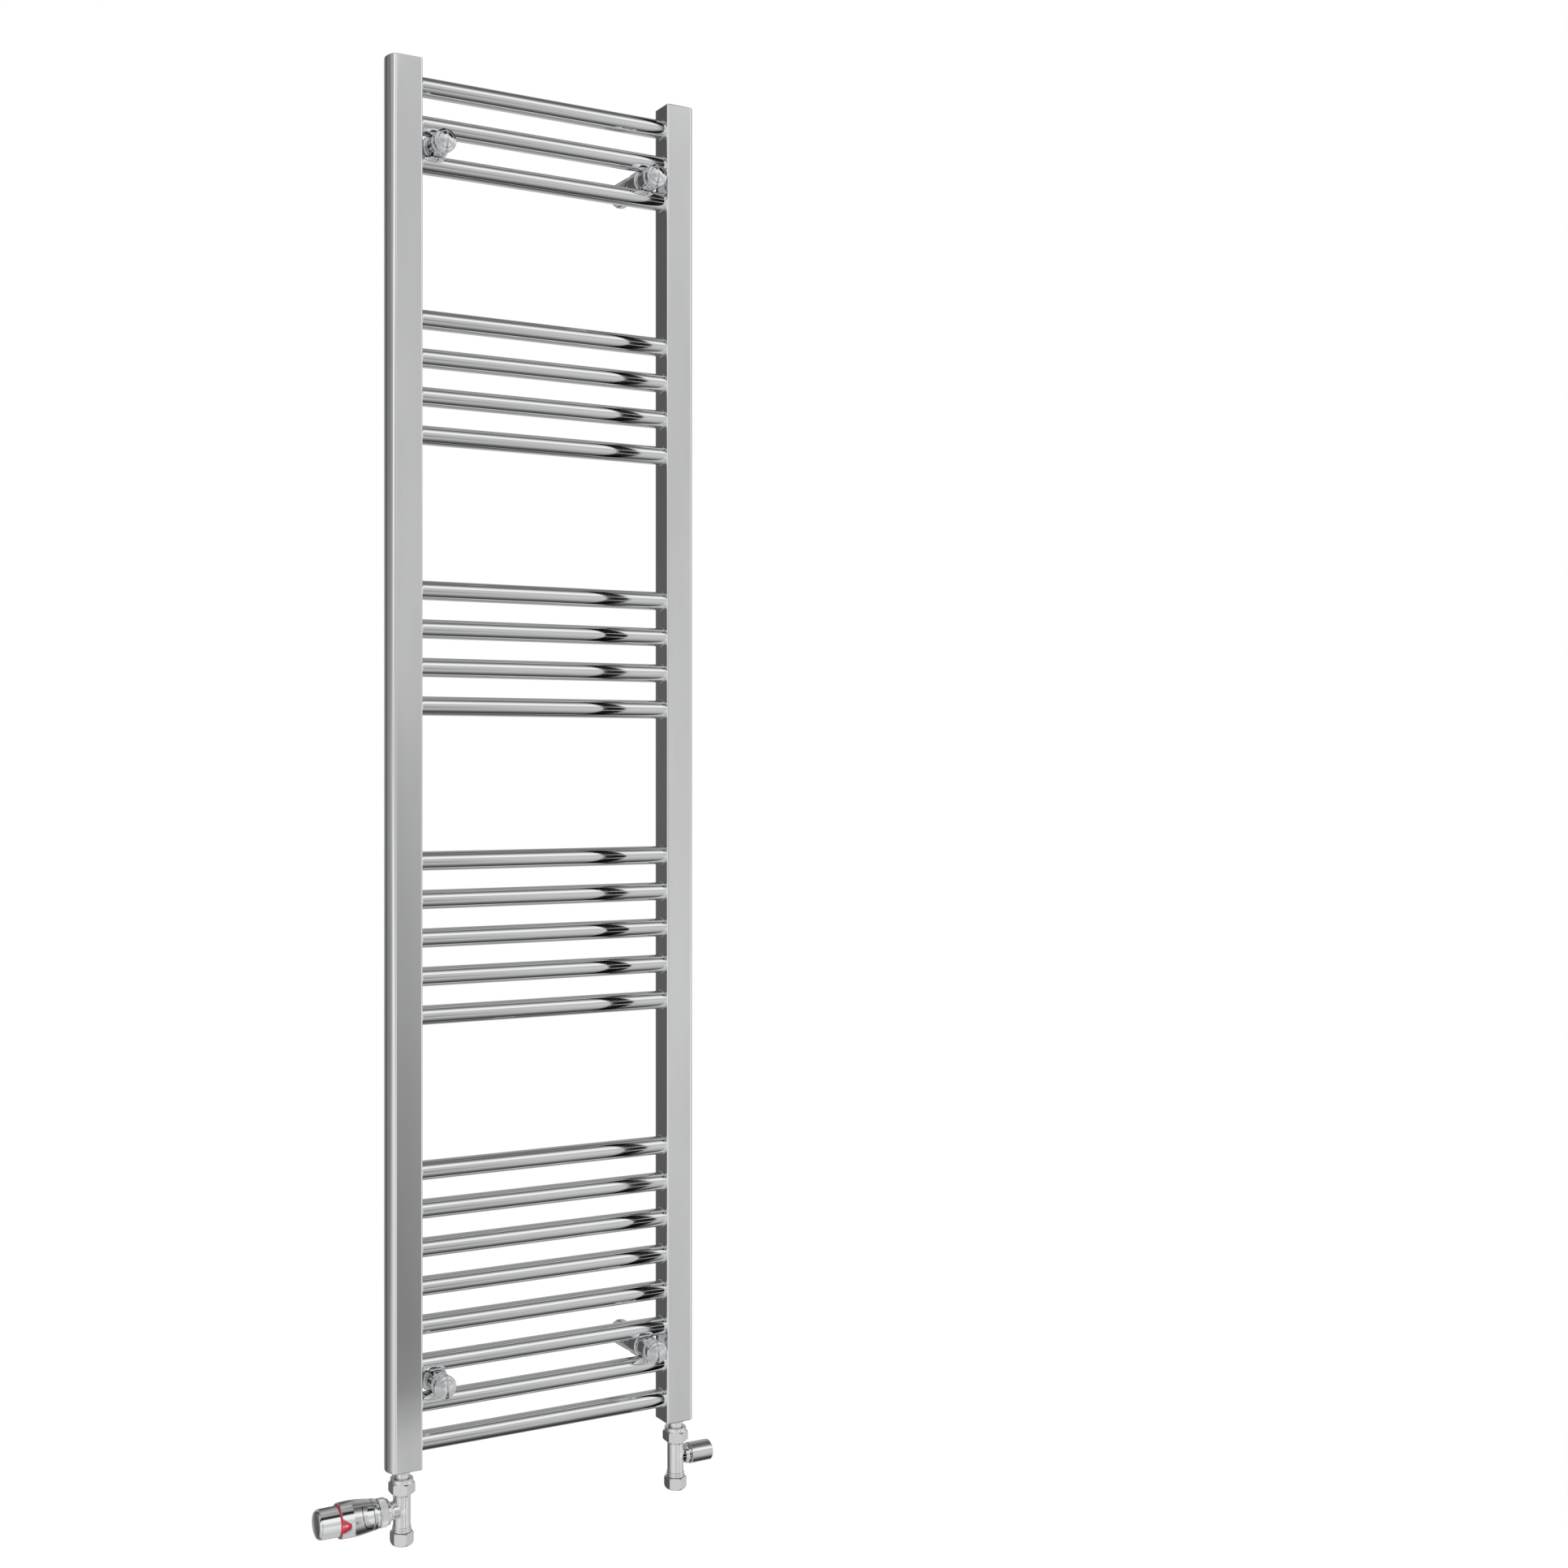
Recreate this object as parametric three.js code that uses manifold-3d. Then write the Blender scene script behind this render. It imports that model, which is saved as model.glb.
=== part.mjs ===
// Ladder towel radiator with a thermostatic valve and a lockshield valve.
// Millimetres. X across the radiator, Y towards the wall, Z up.
// The wall is the plane Y = 0 and the origin is the centre of the four wall fixings.
import * as THREE from 'three';
import { mergeVertices } from 'three/addons/utils/BufferGeometryUtils.js';
import Module from 'manifold-3d';

const wasm = await Module();
wasm.setup();

// ---------------------------------------------------------------- driving dimensions

const GAP = 0.3;                    // between pieces that touch on the real object

const HEIGHT = 1600;                // uprights
const WIDTH = 400;                  // over the outer faces of the uprights
const UPRIGHT_WIDTH = 40;
const UPRIGHT_DEPTH = 30;
const UPRIGHT_BULGE = 5.5;          // of the rounded outer side
const UPRIGHT_WALL = 1.5;
const UPRIGHT_CORNER = 2.5;
const CORNER_INSET = 0.6;           // how much of an inset comes off the corners
const CORNER_SIDE = 0.7;            // how far the bulge starts past the shoulder
const UPRIGHT_FOOT = 12;            // solid threaded boss at the bottom
const UPRIGHT_LID = 2;              // thickness of the closed top
const CUT = 1;                      // how far a cutting tool runs past the face it opens
const PORT_HEIGHT = 22;             // of the rear ports below the top
const PORT_RADIUS = 7.2;
const PORT_CUT = 5;                 // depth of the drilled port
const PORT_FLANGE_RADIUS = 10;
const PORT_FLANGE = 4;              // height of the plug's flange
const PORT_FLANGE_EDGE = 0.8;
const PORT_SPIGOT = 3;              // of the plug, inside the upright
const VENT_BORE_RADIUS = 1.5;
const VENT_RECESS_RADIUS = 3.6;
const BLANK_SOCKET_RADIUS = 4.6;    // over the corners of its hexagon socket
const BLEED_RADIUS = 3.2;
const BLEED_LENGTH = 3;
const BLEED_TIP = 0.6;
const BLEED_SQUARE_RADIUS = 3.5;    // over the corners of its square
const BLEED_SQUARE_START = 2;
const BLEED_SQUARE_END = 6;

const RAIL_RADIUS = 11;
const RAIL_WALL = 1.2;
const RAIL_PITCH = 44;
const RAIL_GROUPS = [3, 4, 4, 5, 8];
const GROUP_GAP = 177;
const RAIL_MARGIN = 28;             // from the end of the upright to the first rail
const WALL_DISTANCE = 65;           // wall to rail axis

const BRACKET_X = 138;
const SOCKET_RADIUS = 15;
const SOCKET_LENGTH = 34;
const SOCKET_BASE = 4;
const SOCKET_SCREW_RADIUS = 2.75;
const SOCKET_EDGE = 0.8;
const ARM_RADIUS = 11;
const ARM_BORE_CLEARANCE = 0.4;
const ARM_TAIL = 24;                // length of the arm inside the socket
const CLAMP_RADIUS = 15.5;
const CLAMP_SPLIT = 0.6;
const RECESS_HALF = 30;             // half length of the tool that cuts the rail grooves
const CLAMP_BACK = 19;              // rear half of the clamp, from the rail axes
const CLAMP_TAPER = 2;
const CLAMP_SCREW_RADIUS = 2.1;
const CLAMP_SCREW_DEPTH = 14;
const CLAMP_FRONT_STEP = 2.5;       // the front half is this much slimmer
const CLAMP_FRONT = 4;              // of the front half, ahead of the rails
const BUTTON_RADIUS = 13.6;
const BUTTON_LENGTH = 12;
const BUTTON_DOME = 5;
const BUTTON_NECK = 1.5;
const DOME_STEPS = 3;

const VALVE_DROP = 45.5;            // bottom of the upright to the valve's head axis
const BARREL_RADIUS = 10;
const BORE_RADIUS = 4;
const BORE_OFFSET = 5;              // of the inlet and outlet bores from the barrel's axis
const PIPE_RADIUS = 7.6;            // 15 mm pipe with its clearance
const PIPE_STOP = 21;               // below the head axis
const BARREL_BOTTOM = 30;
const BARREL_TOP = 27;
const BARREL_TOP_RADIUS = 11.8;
const BARREL_SHOULDER = 16.5;       // the barrel widens from here to the union's seat
const BARREL_WIDE = 18;
const COLLAR_RADIUS = 11.2;
const COLLAR_BOTTOM = 23.6;
const COLLAR_TOP = 22;
const COLLAR_EDGE = 0.4;
const GROOVE_LIP = 0.3;             // over the barrel, between the collar and the bead
const GROOVE_TOP = 20.6;
const BEAD_LIP = 0.8;
const BEAD_TOP = 18.8;
const BEAD_EDGE = 0.6;
const THREAD_LIP = 0.2;
const INLET_SHIFT = 0.5;
const OUTLET_SHIFT = 0.2;
const BORE_OVERLAP = 3.5;           // of the two bores past the head axis
const CHAMBER_END = 9.5;
const CHAMBER_OVERLAP = 0.5;

const COMPRESSION_FLATS = 24;
const COMPRESSION_THREAD_END = 35.5;
const COMPRESSION_TOP = 24.5;
const COMPRESSION_BOTTOM = 40;
const UNION_FLATS = 27;
const UNION_BOTTOM = 19.5;
const UNION_TOP = 36;
const TAIL_THREAD_RADIUS = 10.4;    // 1/2 inch pipe thread
const TAIL_BORE_RADIUS = 7.8;
const TAIL_NECK_RADIUS = 8.4;
const TAIL_COLLAR_RADIUS = 11.5;
const TAIL_NECK_CLEARANCE = 0.4;
const TAIL_THREAD_START = 41.6;
const TAIL_CHAMFER = 1.2;
const TAIL_FOOT_CHAMFER = 0.8;
const UNION_LIP = 3;                // inward lip that holds the tail's collar
const TAIL_TOP = 56;

const SEAT_FACE = 1.2;              // seat plane, outwards along the head axis
const SEAT_RADIUS = 4;
const DISC_RADIUS = 5.4;
const DISC_THICKNESS = 2.6;

const HEAD_NECK_BORE = 6;
const NECK_LIP = 0.05;              // the side neck is this much slimmer than the barrel
const HEAD_NECK_END = 14.3;
const HEAD_COLLAR_START = 15.6;
const HEAD_COLLAR_RADIUS = 11.2;
const HEAD_SPIGOT_RADIUS = 12.4;
const HEAD_SPIGOT_END = 27.5;
const HEAD_PIN_BORE = 3.2;
const HEAD_FLANGE_START = 17.6;
const HEAD_FLANGE_END = 20.3;
const HEAD_FLANGE_RADIUS = 14.4;
const RING_RADIUS = 16;
const RING_BORE = 12.8;
const RING_START = 20.7;
const RING_END = 30.6;
const BAND_START = 31;
const BAND_END = 38.6;
const BAND_BORE = 11;
const BAND_FOOT_RADIUS = 15.6;
const BAND_EDGE = 1.2;
const BAND_EDGE_RADIUS = 16.4;
const BAND_CURVE = 3;
const BAND_CURVE_RADIUS = 17;
const BAND_TOP_RADIUS = 17.3;
const SLEEVE_START = 39;
const SLEEVE_END = 77;
const SLEEVE_TIP_RADIUS = 19.3;
const SLEEVE_FOOT_RADIUS = 17.5;
const SLEEVE_SWELL = 1.1;
const SLEEVE_WALL = 1.8;
const SLEEVE_FLOOR = 3;
const SLEEVE_PIN_HOLE = 3;
const SLEEVE_TAPER = 4;             // inside, under the dial
const SLEEVE_STEPS = 6;
const WINDOW_DEPTH = 9.8;
const WINDOW_HALF_TOP = 7.8;
const WINDOW_HALF_TIP = 2.6;
const WINDOW_FLARE = 0.5;
const WINDOW_FLOOR = 10;            // the cutting tool starts here, out from the axis
const WINDOW_CUT = 12;
const DIAL_RADIUS = 16.9;
const DIAL_WALL = 2.2;
const DIAL_START = 62;
const DIAL_END = 78;
const KNOB_RADIUS = 16.7;
const KNOB_START = 78.3;
const KNOB_END = 104;
const KNOB_ROUNDING = 7;
const KNOB_WALL = 2;
const KNOB_CROWN = 1.2;             // rise of the end face
const KNOB_DRAFT = 0.3;
const KNOB_ROOF = 5;
const KNOB_ROOF_SLOPE = 3;
const KNOB_ROOF_INSET = 6;
const KNOB_STEPS = 4;
const SENSOR_RADIUS = 9.5;
const SENSOR_START = 45.5;
const SENSOR_END = 74;
const PIN_RADIUS = 2;
const PIN_OPENING = 2.5;            // disc off its seat at the highest setting

const SHIELD_NECK_END = 11.5;
const SHIELD_BORE = 7;
const SHIELD_COLLAR_START = 13.5;
const SHIELD_COLLAR_END = 17.8;
const SHIELD_COLLAR_RADIUS = 11.4;
const SHIELD_CAP_START = 18.1;
const SHIELD_CAP_END = 47.5;
const SHIELD_CAP_RADIUS = 12.3;
const SHIELD_CAP_WALL = 1.5;
const SHIELD_CAP_ROUNDING = 1.6;
const SHIELD_CAP_CHAMFER = 0.5;
const SHIELD_CAP_END_WALL = 2;
const BONNET_START = 12.2;
const BONNET_FLATS = 17;
const BONNET_HEX_END = 24.5;
const GLAND_START = 24;
const GLAND_END = 31;
const GLAND_RADIUS = 5.6;
const SPINDLE_RADIUS = 3.2;
const SPINDLE_SQUARE = 4.6;
const SPINDLE_TIP = 6.4;
const SPINDLE_TIP_RADIUS = 2;
const SPINDLE_START = 10;
const SPINDLE_ROUND_END = 32;
const SPINDLE_SQUARE_START = 31.6;
const SPINDLE_END = 38;
const PLUG_OPENING = 1.5;
const PLUG_LENGTH = 5;
const PLUG_FACE_THICKNESS = 1.6;

const FINE = 32;                    // sides of the larger turned pieces
const MEDIUM = 20;
const COARSE = 12;
const HEX_SLOPE = 0.6;              // length of a hexagon's end chamfer for its depth
const HEX_TURNING = 24;             // sides of the tool that rounds off a hexagon's ends
const RAIL_SIDES = 16;
const WELD = 1e-4;                  // corners closer than this are one corner

// ---------------------------------------------------------------- materials

const chrome = new THREE.MeshStandardMaterial({ color: 0xd6d8da, roughness: 0.07, metalness: 1 });
const brass = new THREE.MeshStandardMaterial({ color: 0xb59a5b, roughness: 0.3, metalness: 1 });
const redPlastic = new THREE.MeshStandardMaterial({ color: 0xc8283c, roughness: 0.4, metalness: 0 });
const copper = new THREE.MeshStandardMaterial({ color: 0xb4714b, roughness: 0.35, metalness: 1 });

// ---------------------------------------------------------------- solids

// A closed three.js geometry as a manifold solid.
function toSolid(geometry) {
  const bare = geometry.clone();
  bare.deleteAttribute('normal');
  bare.deleteAttribute('uv');
  const merged = mergeVertices(bare, WELD);
  const index = merged.index.array;
  const triangles = [];
  for (let i = 0; i < index.length; i += 3) {
    const [a, b, c] = [index[i], index[i + 1], index[i + 2]];
    if (a !== b && b !== c && c !== a) {
      triangles.push(a, b, c);
    }
  }
  const mesh = new wasm.Mesh({
    numProp: 3,
    vertProperties: new Float32Array(merged.attributes.position.array),
    triVerts: new Uint32Array(triangles),
  });
  return new wasm.Manifold(mesh);
}

function toGeometry(solid) {
  const mesh = solid.getMesh();
  const geometry = new THREE.BufferGeometry();
  geometry.setAttribute('position', new THREE.BufferAttribute(new Float32Array(mesh.vertProperties), 3));
  geometry.setIndex(new THREE.BufferAttribute(new Uint32Array(mesh.triVerts), 1));
  geometry.computeVertexNormals();
  return geometry;
}

// The first geometry with the added ones joined on and the removed ones cut away.
function shape(base, { add = [], remove = [] }) {
  let solid = toSolid(base);
  for (const geometry of add) {
    solid = solid.add(toSolid(geometry));
  }
  for (const geometry of remove) {
    solid = solid.subtract(toSolid(geometry));
  }
  return toGeometry(solid);
}

// A profile of [distance along the axis, radius] pairs, turned about the named axis.
function turned(profile, sides, axis) {
  const points = profile.map(([along, radius]) => new THREE.Vector2(radius, along));
  const geometry = new THREE.LatheGeometry(points, sides);
  if (axis === 'x') {
    geometry.rotateZ(-Math.PI / 2);
  }
  if (axis === 'z') {
    geometry.rotateX(Math.PI / 2);
  }
  return geometry;
}

function rod(start, end, radius, sides, axis) {
  return turned([[start, 0], [start, radius], [end, radius], [end, 0]], sides, axis);
}

function tube(start, end, inner, outer, sides, axis) {
  const profile = [[start, inner], [start, outer], [end, outer], [end, inner], [start, inner]];
  return turned(profile, sides, axis);
}

// A prism with regular sides about the named axis, its corners rounded off at the ends.
function hexBar(start, end, flats, axis) {
  const corner = flats / Math.sqrt(3);
  const chamfer = corner - flats / 2;
  const slope = chamfer * HEX_SLOPE;
  const barrel = [[start, 0], [start, flats / 2], [start + slope, corner]];
  barrel.push([end - slope, corner], [end, flats / 2], [end, 0]);
  const prism = turned([[start, 0], [start, corner], [end, corner], [end, 0]], 6, axis);
  const rounded = toSolid(prism).intersect(toSolid(turned(barrel, HEX_TURNING, axis)));
  return toGeometry(rounded);
}

// ---------------------------------------------------------------- assembly

const radiator = new THREE.Group();

function place(parent, name, geometry, material) {
  const mesh = new THREE.Mesh(geometry, material);
  mesh.name = name;
  parent.add(mesh);
  return mesh;
}

// ---------------------------------------------------------------- uprights

// D section: flat front, back and inner side, with a gently bulged outer side.
// The outer side is towards +X, and the inner side is on X = 0.
function uprightSection(inset) {
  const front = -UPRIGHT_DEPTH / 2 + inset;
  const back = UPRIGHT_DEPTH / 2 - inset;
  const inner = inset;
  const shoulder = UPRIGHT_WIDTH - UPRIGHT_BULGE - inset;
  const corner = UPRIGHT_CORNER - inset * CORNER_INSET;
  const side = shoulder + corner * CORNER_SIDE;
  const crownControl = 2 * (UPRIGHT_WIDTH - inset) - side;
  const section = new THREE.Shape();
  section.moveTo(inner + corner, front);
  section.lineTo(shoulder - corner, front);
  section.quadraticCurveTo(shoulder, front, side, front + corner);
  section.quadraticCurveTo(crownControl, 0, side, back - corner);
  section.quadraticCurveTo(shoulder, back, shoulder - corner, back);
  section.lineTo(inner + corner, back);
  section.quadraticCurveTo(inner, back, inner, back - corner);
  section.lineTo(inner, front + corner);
  section.quadraticCurveTo(inner, front, inner + corner, front);
  return section;
}

function uprightBar(inset, bottom, top) {
  const options = { depth: top - bottom, bevelEnabled: false, steps: 1, curveSegments: 4 };
  const bar = new THREE.ExtrudeGeometry(uprightSection(inset), options);
  bar.translate(0, 0, bottom);
  return bar;
}

const half = HEIGHT / 2;
const inletRadius = TAIL_THREAD_RADIUS + GAP;
const innerFace = WIDTH / 2 - UPRIGHT_WIDTH;
const valveX = WIDTH / 2 - UPRIGHT_WIDTH / 2;

// The rear port faces the wall on both uprights; the left one is turned half a turn.
function upright(side) {
  const outer = uprightBar(0, -half, half);
  const hollow = uprightBar(UPRIGHT_WALL, -half + UPRIGHT_FOOT, half - UPRIGHT_LID);
  const inlet = rod(-half - CUT, -half + UPRIGHT_FOOT + CUT, inletRadius, MEDIUM, 'z');
  inlet.translate(UPRIGHT_WIDTH / 2, 0, 0);
  const port = rod(UPRIGHT_DEPTH / 2 - PORT_CUT, UPRIGHT_DEPTH / 2 + CUT, PORT_RADIUS, COARSE, 'y');
  port.rotateZ(side < 0 ? Math.PI : 0);
  port.translate(UPRIGHT_WIDTH / 2, 0, half - PORT_HEIGHT);
  return shape(outer, { remove: [hollow, inlet, port] });
}

for (const [side, name] of [[-1, 'upright_left'], [1, 'upright_right']]) {
  const mesh = place(radiator, name, upright(side), chrome);
  mesh.position.set(side * innerFace, -WALL_DISTANCE, 0);
  mesh.rotation.z = side < 0 ? Math.PI : 0;
}

// ---------------------------------------------------------------- rails

const railHeights = [];
let railHeight = half - RAIL_MARGIN;
for (const count of RAIL_GROUPS) {
  for (let i = 0; i < count; i += 1) {
    railHeights.push(railHeight);
    railHeight -= i < count - 1 ? RAIL_PITCH : GROUP_GAP;
  }
}

const railEnd = innerFace - GAP;
railHeights.forEach((height, i) => {
  const geometry = tube(-railEnd, railEnd, RAIL_RADIUS - RAIL_WALL, RAIL_RADIUS, RAIL_SIDES, 'x');
  const number = String(i + 1).padStart(2, '0');
  place(radiator, `rail_${number}`, geometry, chrome).position.set(0, -WALL_DISTANCE, height);
});

// ---------------------------------------------------------------- wall brackets

// Turned about Y, with the wall at Y = 0 and the rail axes at Y = -WALL_DISTANCE.
const clampHalf = RAIL_PITCH / 2;
const armBore = ARM_RADIUS + ARM_BORE_CLEARANCE;

function railRecess() {
  const recesses = [];
  for (const side of [-1, 1]) {
    const recess = rod(-RECESS_HALF, RECESS_HALF, RAIL_RADIUS + GAP, RAIL_SIDES, 'x');
    recess.translate(0, -WALL_DISTANCE, side * clampHalf);
    recesses.push(recess);
  }
  return recesses;
}

function wallSocket() {
  const profile = [[-SOCKET_LENGTH, armBore], [-SOCKET_LENGTH, SOCKET_RADIUS - SOCKET_EDGE]];
  profile.push([-SOCKET_LENGTH + SOCKET_EDGE, SOCKET_RADIUS], [0, SOCKET_RADIUS], [0, SOCKET_SCREW_RADIUS]);
  profile.push([-SOCKET_BASE, SOCKET_SCREW_RADIUS], [-SOCKET_BASE, armBore], [-SOCKET_LENGTH, armBore]);
  return turned(profile, MEDIUM, 'y');
}

// Spigot that telescopes in the socket, and the rear half of the clamp around two rails.
function arm() {
  const tailEnd = -SOCKET_LENGTH + ARM_TAIL;
  const saddleBack = -WALL_DISTANCE + CLAMP_BACK;
  const profile = [[-WALL_DISTANCE + CLAMP_SPLIT / 2, 0], [-WALL_DISTANCE + CLAMP_SPLIT / 2, CLAMP_RADIUS]];
  profile.push([saddleBack, CLAMP_RADIUS], [saddleBack + CLAMP_TAPER, ARM_RADIUS]);
  profile.push([tailEnd, ARM_RADIUS], [tailEnd, 0]);
  const screwHole = rod(-WALL_DISTANCE - CUT, -WALL_DISTANCE + CLAMP_SCREW_DEPTH, CLAMP_SCREW_RADIUS, COARSE, 'y');
  return shape(turned(profile, MEDIUM, 'y'), { remove: [...railRecess(), screwHole] });
}

// Front half of the clamp with the domed button that covers its screw.
function frontClamp() {
  const front = -WALL_DISTANCE - CLAMP_SPLIT / 2;
  const neck = -WALL_DISTANCE - RAIL_RADIUS - CLAMP_FRONT;
  const slim = CLAMP_RADIUS - CLAMP_FRONT_STEP;
  const buttonBack = neck - BUTTON_NECK;
  const buttonFront = buttonBack - BUTTON_LENGTH;
  const profile = [[buttonFront - BUTTON_DOME, 0]];
  for (let i = 1; i <= DOME_STEPS; i += 1) {
    const angle = (i / DOME_STEPS) * (Math.PI / 2);
    profile.push([buttonFront - BUTTON_DOME * Math.cos(angle), BUTTON_RADIUS * Math.sin(angle)]);
  }
  profile.push([buttonBack, BUTTON_RADIUS], [neck, slim], [front, slim], [front, 0]);
  return shape(turned(profile, MEDIUM, 'y'), { remove: railRecess() });
}

const bracketHeight = half - RAIL_MARGIN - 1.5 * RAIL_PITCH;
const brackets = [['top_left', -1, 1], ['top_right', 1, 1], ['bottom_left', -1, -1], ['bottom_right', 1, -1]];
for (const [corner, across, up] of brackets) {
  const bracket = new THREE.Group();
  bracket.position.set(across * BRACKET_X, 0, up * bracketHeight);
  radiator.add(bracket);
  place(bracket, `wall_socket_${corner}`, wallSocket(), chrome);
  place(bracket, `bracket_arm_${corner}`, arm(), chrome);
  place(bracket, `front_clamp_${corner}`, frontClamp(), chrome);
}

// ---------------------------------------------------------------- rear ports

const portFace = -WALL_DISTANCE + UPRIGHT_DEPTH / 2;
const portRoot = portFace - UPRIGHT_WALL;

function portPlug(remove) {
  const spigot = portRoot - PORT_SPIGOT;
  const thread = PORT_RADIUS - GAP;
  const top = portFace + PORT_FLANGE;
  const profile = [[spigot, 0], [spigot, thread], [portFace + GAP, thread], [portFace + GAP, PORT_FLANGE_RADIUS]];
  profile.push([top - PORT_FLANGE_EDGE, PORT_FLANGE_RADIUS], [top, PORT_FLANGE_RADIUS - PORT_FLANGE_EDGE], [top, 0]);
  return shape(turned(profile, MEDIUM, 'y'), { remove });
}

const ventPorts = [[-1, 'air_vent_plug'], [1, 'blanking_plug']];
for (const [side, name] of ventPorts) {
  const vent = name === 'air_vent_plug';
  const outside = portFace + PORT_FLANGE + CUT;
  const waterway = rod(portRoot - PORT_SPIGOT - CUT, outside, VENT_BORE_RADIUS, COARSE, 'y');
  const recess = rod(portFace - CUT, outside, VENT_RECESS_RADIUS, MEDIUM, 'y');
  const hexSocket = rod(portFace, outside, BLANK_SOCKET_RADIUS, 6, 'y');
  const plug = portPlug(vent ? [waterway, recess] : [hexSocket]);
  place(radiator, name, plug, chrome).position.set(side * valveX, 0, half - PORT_HEIGHT);
}

const bleedSquare = rod(portFace + BLEED_SQUARE_START, portFace + BLEED_SQUARE_END, BLEED_SQUARE_RADIUS, 4, 'y');
const bleedBarrel = rod(portFace - BLEED_TIP, portFace + BLEED_LENGTH, BLEED_RADIUS, COARSE, 'y');
const bleedScrew = shape(bleedBarrel, { add: [bleedSquare] });
place(radiator, 'bleed_screw', bleedScrew, brass).position.set(-valveX, 0, half - PORT_HEIGHT);

// ---------------------------------------------------------------- valves

// A valve is drawn with its head along +X and its barrel along Z, about the point
// where the two axes cross. The pipe comes in from below and the tail goes up.

// Straight barrel with a side neck. The inlet bore passes under the seat and the
// outlet bore over it, so the water has to go through the seat.
function valveBody(neck, neckBoreRadius, neckBoreEnd) {
  const thread = BARREL_RADIUS + THREAD_LIP;
  const groove = BARREL_RADIUS + GROOVE_LIP;
  const bead = BARREL_RADIUS + BEAD_LIP;
  const profile = [[-BARREL_BOTTOM, 0], [-BARREL_BOTTOM, thread], [-COLLAR_BOTTOM - COLLAR_EDGE, thread]];
  profile.push([-COLLAR_BOTTOM, COLLAR_RADIUS], [-COLLAR_TOP, COLLAR_RADIUS], [-COLLAR_TOP + BEAD_EDGE, groove]);
  profile.push([-GROOVE_TOP, groove], [-GROOVE_TOP + BEAD_EDGE, bead], [-BEAD_TOP, bead]);
  profile.push([-BEAD_TOP + BEAD_EDGE, BARREL_RADIUS], [BARREL_SHOULDER, BARREL_RADIUS]);
  profile.push([BARREL_WIDE, BARREL_TOP_RADIUS], [BARREL_TOP, BARREL_TOP_RADIUS], [BARREL_TOP, 0]);
  const barrel = turned(profile, FINE, 'z');
  const pipeSocket = rod(-BARREL_BOTTOM - CUT, -PIPE_STOP, PIPE_RADIUS, MEDIUM, 'z');
  const inlet = rod(-PIPE_STOP - CUT, BORE_OVERLAP, BORE_RADIUS, COARSE, 'z');
  inlet.translate(-BORE_OFFSET + INLET_SHIFT, 0, 0);
  const outlet = rod(-BORE_OVERLAP, BARREL_TOP + CUT, BORE_RADIUS, COARSE, 'z');
  outlet.translate(BORE_OFFSET + OUTLET_SHIFT, 0, 0);
  const seat = rod(-SEAT_RADIUS, SEAT_FACE + CUT, SEAT_RADIUS, COARSE, 'x');
  const chamber = rod(SEAT_FACE, CHAMBER_END, HEAD_NECK_BORE, MEDIUM, 'x');
  const neckBore = rod(CHAMBER_END - CHAMBER_OVERLAP, neckBoreEnd + CUT, neckBoreRadius, MEDIUM, 'x');
  return shape(barrel, { add: [neck], remove: [pipeSocket, inlet, outlet, seat, chamber, neckBore] });
}

function compressionNut() {
  const pipeHole = rod(-COMPRESSION_BOTTOM - CUT, -COMPRESSION_TOP, PIPE_RADIUS, MEDIUM, 'z');
  const threadRadius = BARREL_RADIUS + THREAD_LIP + GAP;
  const thread = rod(-COMPRESSION_THREAD_END, -COMPRESSION_TOP + CUT, threadRadius, MEDIUM, 'z');
  const hex = hexBar(-COMPRESSION_BOTTOM, -COMPRESSION_TOP, COMPRESSION_FLATS, 'z');
  return shape(hex, { remove: [pipeHole, thread] });
}

function unionNut() {
  const thread = rod(UNION_BOTTOM - CUT, UNION_TOP - UNION_LIP, BARREL_TOP_RADIUS + GAP, MEDIUM, 'z');
  const neckHole = rod(UNION_BOTTOM, UNION_TOP + CUT, TAIL_NECK_RADIUS + TAIL_NECK_CLEARANCE, MEDIUM, 'z');
  const hex = hexBar(UNION_BOTTOM, UNION_TOP, UNION_FLATS, 'z');
  return shape(hex, { remove: [thread, neckHole] });
}

function tail() {
  const collarTop = UNION_TOP - UNION_LIP - GAP;
  const profile = [[BARREL_TOP + GAP, TAIL_BORE_RADIUS], [BARREL_TOP + GAP, TAIL_COLLAR_RADIUS]];
  profile.push([collarTop, TAIL_COLLAR_RADIUS], [collarTop, TAIL_NECK_RADIUS]);
  profile.push([TAIL_THREAD_START, TAIL_NECK_RADIUS]);
  profile.push([TAIL_THREAD_START + TAIL_FOOT_CHAMFER, TAIL_THREAD_RADIUS]);
  profile.push([TAIL_TOP - TAIL_CHAMFER, TAIL_THREAD_RADIUS], [TAIL_TOP, TAIL_THREAD_RADIUS - TAIL_CHAMFER]);
  profile.push([TAIL_TOP, TAIL_BORE_RADIUS]);
  profile.push([BARREL_TOP + GAP, TAIL_BORE_RADIUS]);
  return turned(profile, MEDIUM, 'z');
}

function valve(prefix, across) {
  const group = new THREE.Group();
  group.position.set(across * valveX, -WALL_DISTANCE, -half - VALVE_DROP);
  group.rotation.z = across < 0 ? Math.PI : 0;
  radiator.add(group);
  place(group, `${prefix}_compression_nut`, compressionNut(), chrome);
  place(group, `${prefix}_union_nut`, unionNut(), chrome);
  place(group, `${prefix}_tail`, tail(), chrome);
  return group;
}

// ---------------------------------------------------------------- thermostatic valve

const thermostatic = valve('trv', -1);

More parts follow.
